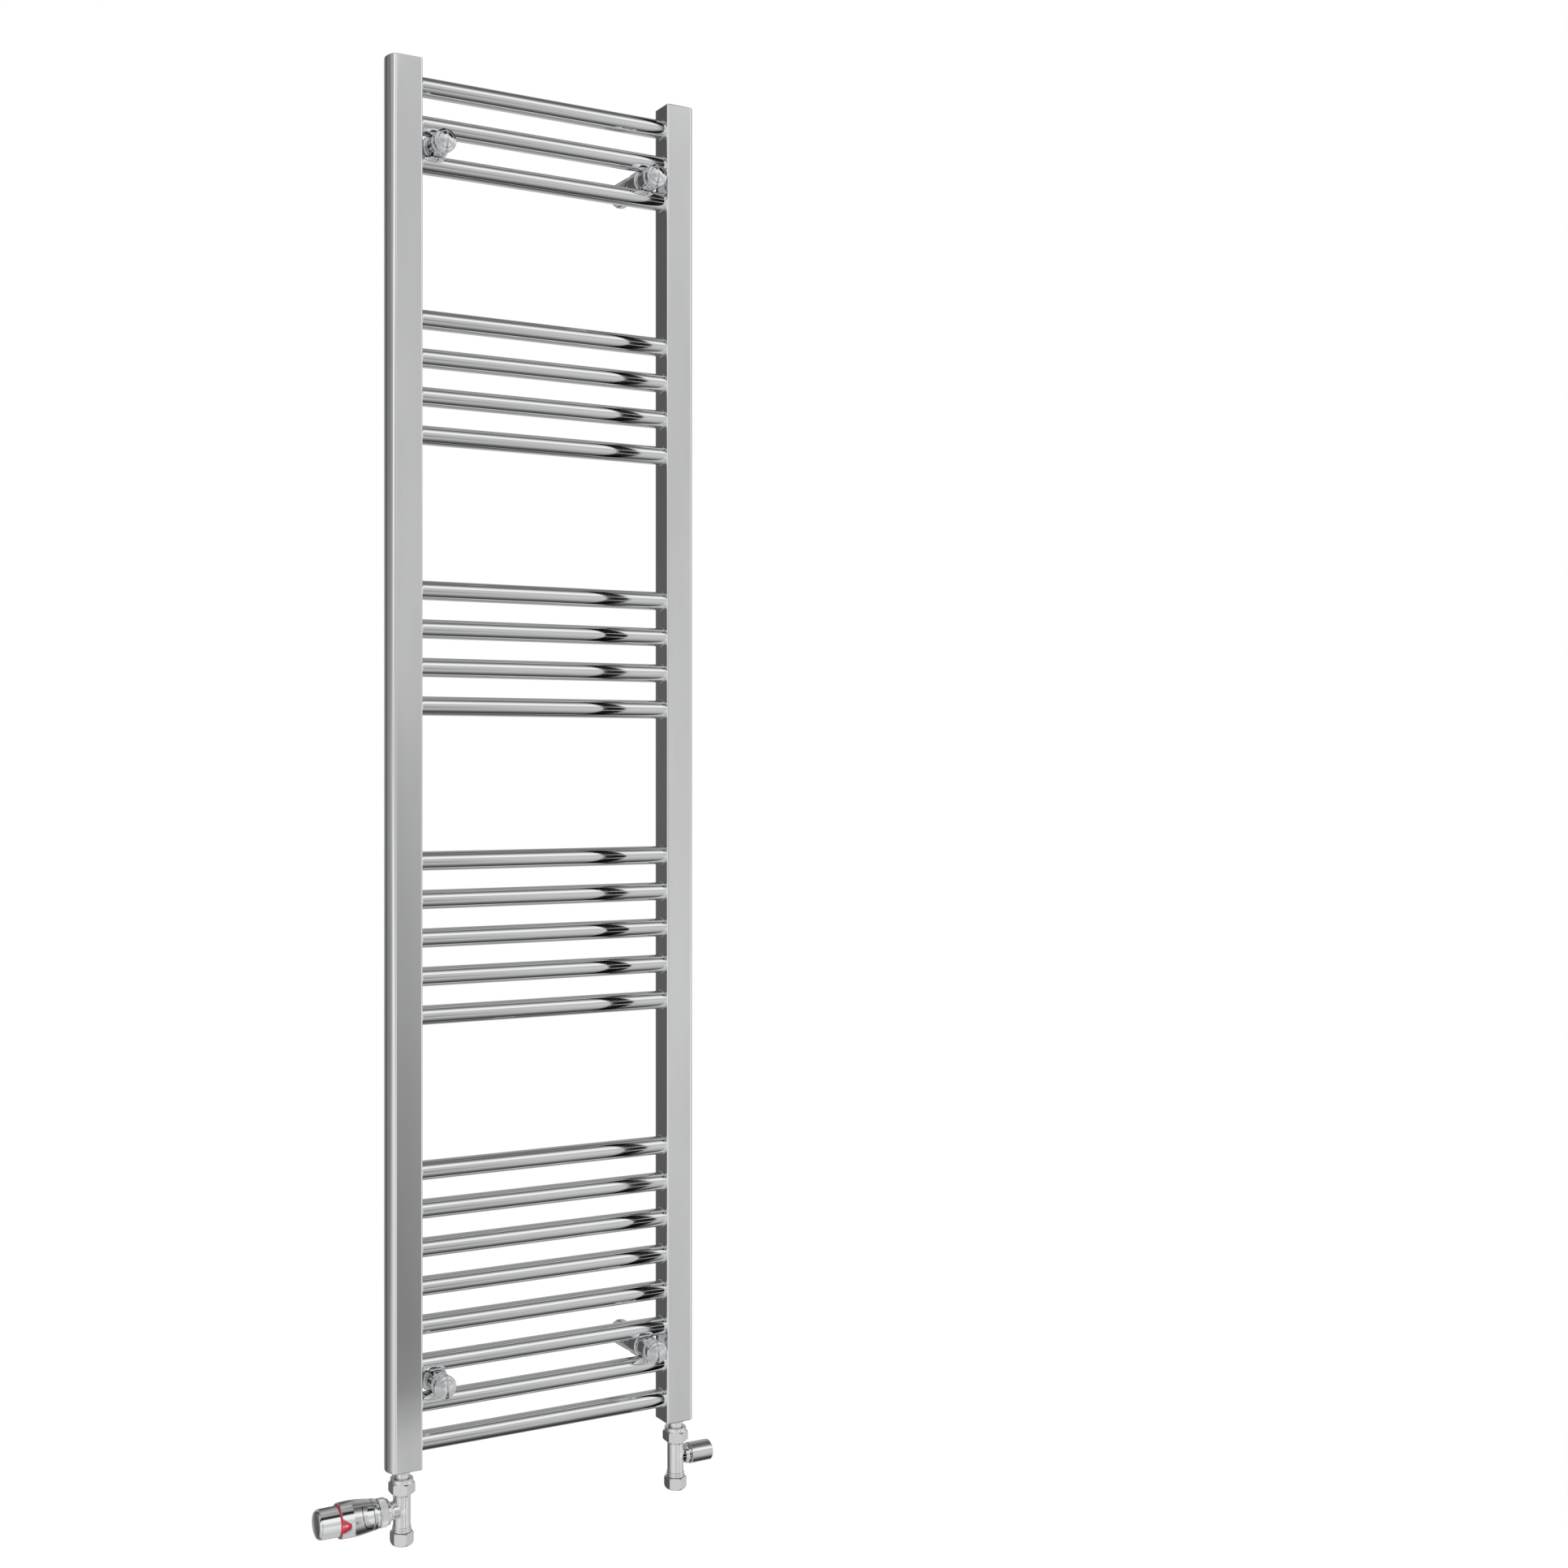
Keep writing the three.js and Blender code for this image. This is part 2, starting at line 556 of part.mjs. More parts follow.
const neckRadius = BARREL_RADIUS - NECK_LIP;
const headNeckProfile = [[0, 0], [0, neckRadius], [HEAD_NECK_END, neckRadius]];
headNeckProfile.push([HEAD_COLLAR_START, HEAD_COLLAR_RADIUS], [HEAD_FLANGE_START, HEAD_FLANGE_RADIUS]);
headNeckProfile.push([HEAD_FLANGE_END, HEAD_FLANGE_RADIUS], [HEAD_FLANGE_END, HEAD_SPIGOT_RADIUS]);
headNeckProfile.push([HEAD_SPIGOT_END, HEAD_SPIGOT_RADIUS], [HEAD_SPIGOT_END, 0]);
const headNeck = turned(headNeckProfile, FINE, 'x');
place(thermostatic, 'trv_body', valveBody(headNeck, HEAD_PIN_BORE, HEAD_SPIGOT_END), chrome);

// Ring nut: knurled with 70 ridges, drawn here as a plain ring over their tips.
place(thermostatic, 'trv_ring_nut', tube(RING_START, RING_END, RING_BORE, RING_RADIUS, FINE, 'x'), chrome);

const bandProfile = [[BAND_START, BAND_BORE], [BAND_START, BAND_FOOT_RADIUS]];
bandProfile.push([BAND_START + BAND_EDGE, BAND_EDGE_RADIUS], [BAND_START + BAND_CURVE, BAND_CURVE_RADIUS]);
bandProfile.push([BAND_END, BAND_TOP_RADIUS], [BAND_END, BAND_BORE], [BAND_START, BAND_BORE]);
place(thermostatic, 'trv_base_band', turned(bandProfile, FINE, 'x'), chrome);

// Sleeve of the head: barrel-shaped, open at the outer end, with a V window in its rim.
function sleeve() {
  const outer = [];
  const length = SLEEVE_END - SLEEVE_START;
  for (let i = 0; i <= SLEEVE_STEPS; i += 1) {
    const along = i / SLEEVE_STEPS;
    const taper = (SLEEVE_TIP_RADIUS - SLEEVE_FOOT_RADIUS) * along;
    const swell = SLEEVE_SWELL * Math.sin(along * Math.PI);
    outer.push([SLEEVE_START + length * along, SLEEVE_FOOT_RADIUS + taper + swell]);
  }
  const step = DIAL_START - GAP;
  const floor = SLEEVE_START + SLEEVE_FLOOR;
  const bore = SLEEVE_FOOT_RADIUS - SLEEVE_WALL;
  const inner = [[SLEEVE_END, DIAL_RADIUS + GAP], [step, DIAL_RADIUS + GAP], [step - SLEEVE_TAPER, bore]];
  inner.push([floor, bore], [floor, SLEEVE_PIN_HOLE], [SLEEVE_START, SLEEVE_PIN_HOLE]);
  const body = turned([...outer, ...inner, outer[0]], FINE, 'x');
  const outline = new THREE.Shape();
  outline.moveTo(SLEEVE_END + CUT, -WINDOW_HALF_TOP - WINDOW_FLARE);
  outline.lineTo(SLEEVE_END + CUT, WINDOW_HALF_TOP + WINDOW_FLARE);
  outline.lineTo(SLEEVE_END - WINDOW_DEPTH, WINDOW_HALF_TIP);
  outline.lineTo(SLEEVE_END - WINDOW_DEPTH, -WINDOW_HALF_TIP);
  outline.closePath();
  const window = new THREE.ExtrudeGeometry(outline, { depth: WINDOW_CUT, bevelEnabled: false });
  window.rotateX(-Math.PI / 2);
  window.translate(0, WINDOW_FLOOR, 0);
  return shape(body, { remove: [window] });
}
place(thermostatic, 'trv_sleeve', sleeve(), chrome);

const dial = tube(DIAL_START, DIAL_END, DIAL_RADIUS - DIAL_WALL, DIAL_RADIUS, FINE, 'x');
place(thermostatic, 'trv_dial', dial, redPlastic);

// Domed knob, hollow from its open end.
function knob() {
  const bore = KNOB_RADIUS - KNOB_WALL;
  const profile = [[KNOB_START, bore], [KNOB_START, KNOB_RADIUS]];
  const shoulder = KNOB_END - KNOB_CROWN - KNOB_ROUNDING;
  for (let i = 0; i <= KNOB_STEPS; i += 1) {
    const angle = (i / KNOB_STEPS) * (Math.PI / 2);
    const radius = KNOB_RADIUS - KNOB_ROUNDING + KNOB_ROUNDING * Math.cos(angle);
    profile.push([shoulder + KNOB_ROUNDING * Math.sin(angle), radius - KNOB_DRAFT]);
  }
  const roof = KNOB_END - KNOB_ROOF;
  profile.push([KNOB_END, 0], [roof, 0], [roof - KNOB_ROOF_SLOPE, KNOB_RADIUS - KNOB_ROOF_INSET]);
  profile.push([shoulder - KNOB_WALL, bore], [KNOB_START, bore]);
  return turned(profile, FINE, 'x');
}
place(thermostatic, 'trv_knob', knob(), chrome);

place(thermostatic, 'trv_sensor', rod(SENSOR_START, SENSOR_END, SENSOR_RADIUS, MEDIUM, 'x'), copper);

const discFace = SEAT_FACE + PIN_OPENING + GAP;
const pinProfile = [[discFace, 0], [discFace, DISC_RADIUS], [discFace + DISC_THICKNESS, DISC_RADIUS]];
pinProfile.push([discFace + DISC_THICKNESS, PIN_RADIUS], [SENSOR_START - GAP, PIN_RADIUS]);
pinProfile.push([SENSOR_START - GAP, 0]);
place(thermostatic, 'trv_pin', turned(pinProfile, COARSE, 'x'), brass);

// ---------------------------------------------------------------- lockshield valve

const lockshield = valve('lockshield', 1);

const shieldNeckProfile = [[0, 0], [0, neckRadius], [SHIELD_NECK_END, neckRadius]];
shieldNeckProfile.push([SHIELD_COLLAR_START, SHIELD_COLLAR_RADIUS], [SHIELD_COLLAR_END, SHIELD_COLLAR_RADIUS]);
shieldNeckProfile.push([SHIELD_COLLAR_END, 0]);
const shieldNeck = turned(shieldNeckProfile, FINE, 'x');
place(lockshield, 'lockshield_body', valveBody(shieldNeck, SHIELD_BORE, SHIELD_COLLAR_END), chrome);

// Bonnet: screwed into the neck, with a hexagon and a gland around the spindle.
const bonnetHex = hexBar(SHIELD_COLLAR_END + GAP, BONNET_HEX_END, BONNET_FLATS, 'x');
const gland = rod(GLAND_START, GLAND_END, GLAND_RADIUS, MEDIUM, 'x');
const spindleHole = rod(BONNET_START - CUT, GLAND_END + CUT, SPINDLE_RADIUS + GAP, COARSE, 'x');
const bonnetThread = rod(BONNET_START, SHIELD_COLLAR_END + CUT, SHIELD_BORE - GAP, MEDIUM, 'x');
const bonnet = shape(bonnetThread, { add: [bonnetHex, gland], remove: [spindleHole] });
place(lockshield, 'lockshield_bonnet', bonnet, brass);

const spindleSquare = SPINDLE_SQUARE / Math.SQRT2;
const squareEnd = rod(SPINDLE_SQUARE_START, SPINDLE_END, spindleSquare, 4, 'x');
const spindleTip = rod(SPINDLE_TIP, SPINDLE_START + CUT, SPINDLE_TIP_RADIUS, COARSE, 'x');
const spindle = shape(rod(SPINDLE_START, SPINDLE_ROUND_END, SPINDLE_RADIUS, COARSE, 'x'), {
  add: [squareEnd, spindleTip],
});
place(lockshield, 'lockshield_spindle', spindle, brass);

// Plug: runs on the thread of the spindle's tip, half way between shut and open.
const plugFace = SEAT_FACE + PLUG_OPENING + GAP;
const plugBore = SPINDLE_TIP_RADIUS + GAP;
const plugProfile = [[plugFace, 0], [plugFace, DISC_RADIUS], [plugFace + PLUG_LENGTH, DISC_RADIUS]];
plugProfile.push([plugFace + PLUG_LENGTH, plugBore], [plugFace + PLUG_FACE_THICKNESS, plugBore]);
plugProfile.push([plugFace + PLUG_FACE_THICKNESS, 0]);
place(lockshield, 'lockshield_plug', turned(plugProfile, COARSE, 'x'), brass);

function shieldCap() {
  const inner = SHIELD_CAP_RADIUS - SHIELD_CAP_WALL;
  const profile = [[SHIELD_CAP_START, inner], [SHIELD_CAP_START, SHIELD_CAP_RADIUS]];
  profile.push([SHIELD_CAP_END - SHIELD_CAP_ROUNDING, SHIELD_CAP_RADIUS]);
  profile.push([SHIELD_CAP_END - SHIELD_CAP_CHAMFER, SHIELD_CAP_RADIUS - SHIELD_CAP_CHAMFER]);
  const roof = SHIELD_CAP_END - SHIELD_CAP_END_WALL;
  profile.push([SHIELD_CAP_END, SHIELD_CAP_RADIUS - SHIELD_CAP_ROUNDING], [SHIELD_CAP_END, 0]);
  profile.push([roof, 0], [roof, inner], [SHIELD_CAP_START, inner]);
  return turned(profile, FINE, 'x');
}
place(lockshield, 'lockshield_cap', shieldCap(), chrome);

export default radiator;
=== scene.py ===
import math

import bmesh
import bpy
import numpy as np
from mathutils import Matrix, Vector


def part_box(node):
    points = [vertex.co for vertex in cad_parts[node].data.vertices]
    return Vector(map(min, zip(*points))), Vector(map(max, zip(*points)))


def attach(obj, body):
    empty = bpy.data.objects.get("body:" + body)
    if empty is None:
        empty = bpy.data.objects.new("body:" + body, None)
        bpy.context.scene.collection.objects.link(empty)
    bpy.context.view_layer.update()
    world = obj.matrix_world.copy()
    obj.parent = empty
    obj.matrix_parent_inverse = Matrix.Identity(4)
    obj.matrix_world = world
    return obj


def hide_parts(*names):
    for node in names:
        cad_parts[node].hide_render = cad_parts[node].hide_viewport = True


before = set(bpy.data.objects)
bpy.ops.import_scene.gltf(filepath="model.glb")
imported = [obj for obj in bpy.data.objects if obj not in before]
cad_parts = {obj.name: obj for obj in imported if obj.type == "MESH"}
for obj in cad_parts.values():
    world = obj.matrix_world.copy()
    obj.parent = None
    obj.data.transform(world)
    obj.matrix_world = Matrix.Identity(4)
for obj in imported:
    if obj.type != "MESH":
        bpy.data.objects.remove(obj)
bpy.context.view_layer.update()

# A chrome ladder towel radiator with a thermostatic valve and a lockshield valve.
# Piece sizes are in millimetres in the piece's own frame, and MM turns them into metres.

MM = 0.001
TURN = 2 * math.pi
TINY = 1e-9


# ======== mesh tools

def shift(point):
    """A matrix that moves a piece's own frame to a point in the shared frame."""
    return np.array(Matrix.Translation(point))


def mesh_normals(points, faces):
    """Vertex normals of a smooth mesh, for pieces whose relief has no simple formula."""
    spots = np.asarray(points, float)
    totals = np.zeros_like(spots)
    for size in (3, 4):
        some = np.array([face for face in faces if len(face) == size], int)
        if not len(some):
            continue
        corners = spots[some]
        across = corners[:, 2] - corners[:, 0]
        along = corners[:, size - 1] - corners[:, 1] if size == 4 else corners[:, 2] - corners[:, 1]
        facing = np.cross(across, along)
        if size == 3:
            facing = np.cross(corners[:, 1] - corners[:, 0], across)
        for column in range(size):
            np.add.at(totals, some[:, column], facing)
    return totals / np.maximum(np.linalg.norm(totals, axis=1), TINY**2)[:, None]


def add_piece(name, parts, material, place):
    """A smooth mesh object from (points, faces, normals) parts in millimetres."""
    points, faces, normals = [], [], []
    for some_points, some_faces, some_normals in parts:
        start = len(points)
        if some_normals is None:
            some_normals = mesh_normals(some_points, some_faces)
        points.extend(some_points)
        normals.extend(some_normals)
        faces.extend([index + start for index in face] for face in some_faces)
    moved = np.asarray(points, float) * MM @ place[:3, :3].T + place[:3, 3]
    turned_normals = np.asarray(normals, float) @ place[:3, :3].T
    mesh = bpy.data.meshes.new(name)
    mesh.from_pydata(moved.tolist(), [], [list(face) for face in faces])
    mesh.polygons.foreach_set("use_smooth", [True] * len(mesh.polygons))
    mesh.update()
    mesh.normals_split_custom_set_from_vertices(turned_normals.tolist())
    mesh.materials.append(material)
    piece = bpy.data.objects.new(name, mesh)
    bpy.context.scene.collection.objects.link(piece)
    return piece


SETBACK_MOST, SETBACK_LEAST = 0.49, 1e-4


def rounded(corners, radius=0.4, closed=False, arc=4):
    """(along, across, normal along, normal across) along a path with rounded corners.

    The solid lies to the right of the path. A corner may carry its own radius as a
    third number; radius 0 keeps the corner sharp.
    """
    spots = [np.array(c[:2], float) for c in corners]
    radii = [c[2] if len(c) > 2 else radius for c in corners]
    count = len(spots)
    out = []
    for i, here in enumerate(spots):
        first = not closed and i == 0
        last = not closed and i == count - 1
        into = (here - spots[i - 1]) if not first else (spots[1] - here)
        away = (spots[(i + 1) % count] - here) if not last else into
        size_in, size_out = np.linalg.norm(into), np.linalg.norm(away)
        into, away = into / size_in, away / size_out
        normal_in = np.array([-into[1], into[0]])
        normal_out = np.array([-away[1], away[0]])
        if first or last:
            out.append((*here, *normal_in))
            continue
        bend = math.atan2(into[0] * away[1] - into[1] * away[0], float(into @ away))
        setback = min(radii[i] * math.tan(abs(bend) / 2), SETBACK_MOST * size_in, SETBACK_MOST * size_out)
        if setback < SETBACK_LEAST:
            out.append((*here, *normal_in))
            out.append((*here, *normal_out))
            continue
        size = setback / math.tan(abs(bend) / 2)
        side = 1 if bend < 0 else -1
        centre = here - into * setback - normal_in * size * side
        for step in range(arc + 1):
            angle = bend * step / arc
            cos, sin = math.cos(angle), math.sin(angle)
            normal = np.array([cos * normal_in[0] - sin * normal_in[1],
                               sin * normal_in[0] + cos * normal_in[1]])
            out.append((*(centre + normal * size * side), *normal))
    if closed:
        out.append(out[0])
    return out


AXES = {"x": (0, 1, 2), "y": (1, 2, 0), "z": (2, 0, 1)}


def turned(profile, sides=96, axis="x", relief=None):
    """A surface of revolution from rounded() points; relief(along, angle) adds to the radius."""
    a, b, c = AXES[axis]
    angles = np.arange(sides) * TURN / sides
    points, normals, rings = [], [], []
    closed = profile[0][:2] == profile[-1][:2]
    for along, radius, n_along, n_across in (profile[:-1] if closed else profile):
        if radius < TINY:
            rings.append([len(points)])
            spot, normal = [0.0] * 3, [0.0] * 3
            spot[a], normal[a] = along, 1.0 if n_along > 0 else -1.0
            points.append(spot)
            normals.append(normal)
            continue
        rings.append(list(range(len(points), len(points) + sides)))
        for angle in angles:
            grow = relief(along, angle) if relief else 0.0
            spot, normal = [0.0] * 3, [0.0] * 3
            spot[a], normal[a] = along, n_along
            spot[b] = (radius + grow) * math.cos(angle)
            spot[c] = (radius + grow) * math.sin(angle)
            normal[b], normal[c] = n_across * math.cos(angle), n_across * math.sin(angle)
            points.append(spot)
            normals.append(normal)
    if closed:
        rings.append(rings[0])
    if relief:
        normals = None
    faces = []
    for low, high in zip(rings, rings[1:]):
        for j in range(sides):
            k = (j + 1) % sides
            if len(low) == 1 and len(high) > 1:
                faces.append((low[0], high[k], high[j]))
            elif len(high) == 1 and len(low) > 1:
                faces.append((low[j], low[k], high[0]))
            elif len(low) > 1:
                faces.append((low[j], low[k], high[k], high[j]))
    return points, faces, normals


def tube(start, end, inner, outer, edge=0.3, sides=96, axis="x"):
    """A plain tube with rounded edges."""
    corners = [(start, outer, edge), (end, outer, edge), (end, inner, edge), (start, inner, edge)]
    return turned(rounded(corners, closed=True), sides, axis)


# -------- distance fields

HAIRLINE, CREASE, FILLET = 0.2, 0.3, 0.4     # how far two surfaces blend where they meet
NET_MARGIN, NET_PASSES = 1.5, 5
NET_NUDGE, NET_LEAST_SLOPE, NET_MOST_MOVE = 0.02, 0.05, 0.5


def smooth_max(a, b, blend):
    near = np.maximum(blend - np.abs(a - b), 0) / blend
    return np.maximum(a, b) + near * near * blend / 4


def smooth_min(a, b, blend):
    return -smooth_max(-a, -b, blend)


def bar_distance(p, axis, radius, start=None, end=None, edge=FILLET, centre=(0, 0)):
    """Distance to a round bar along an axis, cut off at its ends where they are given."""
    a, b, c = AXES[axis]
    d = np.hypot(p[:, b] - centre[0], p[:, c] - centre[1]) - radius
    if start is not None:
        d = smooth_max(d, start - p[:, a], edge)
    if end is not None:
        d = smooth_max(d, p[:, a] - end, edge)
    return d


def cone_distance(p, axis, start, end, start_radius, end_radius, edge=FILLET):
    """Distance to a cut-off cone along an axis."""
    a, b, c = AXES[axis]
    slope = (end_radius - start_radius) / (end - start)
    radius = start_radius + slope * (p[:, a] - start)
    d = (np.hypot(p[:, b], p[:, c]) - radius) / math.hypot(1, slope)
    return smooth_max(smooth_max(d, start - p[:, a], edge), p[:, a] - end, edge)


def hexagon_distance(p, axis, flats):
    """Distance to an endless hexagonal bar, from its width across flats."""
    _, b, c = AXES[axis]
    out = np.full(len(p), -np.inf)
    for k in range(3):
        angle = math.pi * k / 3
        out = np.maximum(out, np.abs(p[:, b] * math.cos(angle) + p[:, c] * math.sin(angle)) - flats / 2)
    return out


def surface_net(distance, low, high, step):
    """A closed quad mesh where distance(points) is 0, its vertices on the exact surface."""
    low = np.array(low, float) - NET_MARGIN * step
    counts = np.ceil((np.array(high, float) + NET_MARGIN * step - low) / step).astype(int) + 1
    axes = [low[i] + step * np.arange(counts[i]) for i in range(3)]
    grid = np.stack(np.meshgrid(*axes, indexing="ij"), -1).reshape(-1, 3)
    value = distance(grid).reshape(counts)
    inside = value < 0
    cells = counts - 1
    total = np.zeros((*cells, 3))
    hits = np.zeros(cells)
    edges = []
    for axis in range(3):
        lower = [slice(None)] * 3
        upper = [slice(None)] * 3
        lower[axis], upper[axis] = slice(0, -1), slice(1, None)
        a, b = value[tuple(lower)], value[tuple(upper)]
        crossing = inside[tuple(lower)] != inside[tuple(upper)]
        share = np.where(crossing, a / np.where(a == b, 1, a - b), 0)
        edges.append(crossing)
        others = [k for k in range(3) if k != axis]
        for du in (0, 1):
            for dv in (0, 1):
                part = [slice(None)] * 3
                part[others[0]] = slice(du, counts[others[0]] - 1 + du)
                part[others[1]] = slice(dv, counts[others[1]] - 1 + dv)
                hit = crossing[tuple(part)]
                hits += hit
                total[..., axis] += share[tuple(part)]
                total[..., others[0]] += hit * du
                total[..., others[1]] += hit * dv
    used = hits > 0
    index = np.full(cells, -1)
    index[used] = np.arange(used.sum())
    where = np.argwhere(used)
    points = low + step * (where + total[used] / hits[used][:, None])
    faces = []
    for axis in range(3):
        u, v = [k for k in range(3) if k != axis]
        spots = np.argwhere(edges[axis])
        keep = (spots[:, u] > 0) & (spots[:, v] > 0)
        keep &= (spots[:, u] < cells[u]) & (spots[:, v] < cells[v])
        spots = spots[keep]
        quad = []
        for du, dv in ((-1, -1), (0, -1), (0, 0), (-1, 0)):
            cell = spots.copy()
            cell[:, u] += du
            cell[:, v] += dv
            quad.append(index[cell[:, 0], cell[:, 1], cell[:, 2]])
        quad = np.stack(quad, 1)
        outward = inside[spots[:, 0], spots[:, 1], spots[:, 2]]
        if axis == 1:
            outward = ~outward
        quad[~outward] = quad[~outward][:, ::-1]
        faces.append(quad)
    faces = np.concatenate(faces)
    nudge = step * NET_NUDGE
    for _ in range(NET_PASSES):
        here = distance(points)
        slope = gradient(distance, points, nudge)
        size = np.maximum((slope * slope).sum(1), NET_LEAST_SLOPE)
        move = slope * (here / size)[:, None]
        reach = np.maximum(np.linalg.norm(move, axis=1) / (NET_MOST_MOVE * step), 1)
        points -= move / reach[:, None]
    slope = gradient(distance, points, nudge)
    normals = slope / np.maximum(np.linalg.norm(slope, axis=1), TINY)[:, None]
    return points.tolist(), faces.tolist(), normals.tolist()


def gradient(distance, points, nudge):
    slopes = []
    for axis in range(3):
        offset = np.zeros(3)
        offset[axis] = nudge
        slopes.append((distance(points + offset) - distance(points - offset)) / (2 * nudge))
    return np.stack(slopes, 1)


def net_along(axis, distance, radius, start, end, step):
    """A surface net in the square space round an axis."""
    low, high = [-radius] * 3, [radius] * 3
    low[AXES[axis][0]], high[AXES[axis][0]] = start, end
    return surface_net(distance, low, high, step)


# ======== materials

# Noise as (scale, detail): the scale is in waves per metre. Shares are of a tint.
HAZE_NOISE, TINT_LIGHT, TINT_DARK = (34.0, 4.0), 1.02, 0.965
SPECK_NOISE, SPECK_ROUGH, SPECK_SHARE = (900.0, 1.0), 0.03, (0.68, 0.8)
TARNISH_NOISE, TARNISH_DARK, TARNISH_ROUGH = (120.0, 5.0), 0.6, (1.4, 0.8)
MARKS_NOISE, MARKS_DEPTH = (300.0, 2.0), 0.00001
CLOUD_NOISE, CLOUD_DARK, CLOUD_ROUGH = (60.0, 3.0), 0.86, (0.85, 1.15)
GRAIN_NOISE, GRAIN_DEPTH = (2200.0, 2.0), 0.000008


def node_tree(name):
    """A new material, its nodes, its shader and the coordinates that stay put on a piece."""
    material = bpy.data.materials.new(name)
    material.use_nodes = True
    tree = material.node_tree
    place = tree.nodes.new("ShaderNodeTexCoord").outputs["Object"]
    return material, tree, tree.nodes["Principled BSDF"], place


def connect(tree, socket, value):
    """Links another node's output, or sets a plain value."""
    if isinstance(value, bpy.types.NodeSocket):
        tree.links.new(value, socket)
    else:
        socket.default_value = value


def add_node(tree, kind, output, **inputs):
    """A new node's output. Inputs go by name, with _ for a space."""
    node = tree.nodes.new("ShaderNode" + kind)
    for name, value in inputs.items():
        connect(tree, node.inputs[name.replace("_", " ")], value)
    return node.outputs[output]


def arithmetic(tree, operation, *values):
    node = tree.nodes.new("ShaderNodeMath")
    node.operation = operation
    for socket, value in zip(node.inputs, values):
        connect(tree, socket, value)
    return node.outputs["Value"]


def noise(tree, place, scale, detail, stretch=(1, 1, 1)):
    stretched = add_node(tree, "Mapping", "Vector", Vector=place, Scale=stretch)
    return add_node(tree, "TexNoise", "Fac", Vector=stretched, Scale=scale, Detail=detail)


def remap(tree, value, low, high, from_low=0.3, from_high=0.7):
    return add_node(tree, "MapRange", "Result", Value=value, From_Min=from_low, From_Max=from_high,
                    To_Min=low, To_Max=high)


def mix_colour(tree, factor, dark, light):
    node = tree.nodes.new("ShaderNodeMix")
    node.data_type = "RGBA"
    node.inputs["A"].default_value = (*dark, 1)
    node.inputs["B"].default_value = (*light, 1)
    tree.links.new(factor, node.inputs["Factor"])
    return node.outputs["Result"]


def bump(tree, height, distance, shader):
    connect(tree, shader.inputs["Normal"], add_node(tree, "Bump", "Normal", Height=height, Distance=distance))


def scaled(tint, share):
    return tuple(min(1, c * share) for c in tint)


def chrome(name, tint, wave_scale, wave_height, stretch=(1, 1, 1), rough=(0.012, 0.03)):
    """Polished chrome plate: faint waviness, polishing haze and fine dust specks."""
    material, tree, shader, place = node_tree(name)
    shader.inputs["Metallic"].default_value = 1.0
    haze = noise(tree, place, *HAZE_NOISE, stretch)
    plate = mix_colour(tree, remap(tree, haze, 0, 1), scaled(tint, TINT_DARK), scaled(tint, TINT_LIGHT))
    tree.links.new(plate, shader.inputs["Base Color"])
    specks = remap(tree, noise(tree, place, *SPECK_NOISE), 0.0, SPECK_ROUGH, *SPECK_SHARE)
    tree.links.new(arithmetic(tree, "ADD", remap(tree, haze, *rough), specks), shader.inputs["Roughness"])
    bump(tree, noise(tree, place, wave_scale, 1.0, stretch), wave_height, shader)
    return material


def tinted(name, tint, rough, cloud_noise, darkest, rough_shares, grain_noise, grain_depth, grain=(1, 1, 1)):
    """Clouds of a darker tint and another roughness, under a fine grain."""
    material, tree, shader, place = node_tree(name)
    cloud = noise(tree, place, *cloud_noise)
    colour = mix_colour(tree, remap(tree, cloud, 0, 1), scaled(tint, darkest), tint)
    tree.links.new(colour, shader.inputs["Base Color"])
    roughness = remap(tree, cloud, rough * rough_shares[0], rough * rough_shares[1])
    tree.links.new(roughness, shader.inputs["Roughness"])
    bump(tree, noise(tree, place, *grain_noise, grain), grain_depth, shader)
    return material, shader


def plain_metal(name, tint, rough, grain):
    """Bare turned metal with fine tool marks and a little tarnish."""
    material, shader = tinted(name, tint, rough, TARNISH_NOISE, TARNISH_DARK, TARNISH_ROUGH,
                              MARKS_NOISE, MARKS_DEPTH, grain)
    shader.inputs["Metallic"].default_value = 1.0
    return material


def moulded_plastic(name, tint, rough):
    return tinted(name, tint, rough, CLOUD_NOISE, CLOUD_DARK, CLOUD_ROUGH, GRAIN_NOISE, GRAIN_DEPTH)[0]


CHROME_TINT = (0.90, 0.905, 0.915)
tube_chrome = chrome("tube_chrome", CHROME_TINT, 12.0, 0.00003, (1, 1, 0.2))
rail_chrome = chrome("rail_chrome", CHROME_TINT, 14.0, 0.00002, (0.2, 1, 1))
bracket_chrome = chrome("bracket_chrome", (0.77, 0.775, 0.79), 60.0, 0.00002)
cast_chrome = chrome("cast_chrome", (0.905, 0.905, 0.91), 60.0, 0.00003, rough=(0.015, 0.04))
head_chrome = chrome("head_chrome", (0.91, 0.915, 0.925), 30.0, 0.00002, rough=(0.01, 0.03))
bare_brass = plain_metal("bare_brass", (0.72, 0.53, 0.26), 0.28, (0.1, 1, 1))
copper = plain_metal("copper", (0.78, 0.42, 0.27), 0.3, (0.1, 1, 1))
zinc_steel = plain_metal("zinc_steel", (0.55, 0.56, 0.58), 0.35, (1, 1, 0.1))
# The bore lining's near-black brown is painted shade for the inside of the tails' bores; plain_metal adds its
# tarnish noise on top.
dark_bore = plain_metal("dark_bore", (0.13, 0.09, 0.06), 0.5, (1, 1, 0.1))
red_plastic = moulded_plastic("red_plastic", (0.62, 0.045, 0.085), 0.32)
white_print = moulded_plastic("white_print", (0.86, 0.85, 0.83), 0.4)


# ======== where things are

def middle(node):
    low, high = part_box(node)
    return (low + high) / 2


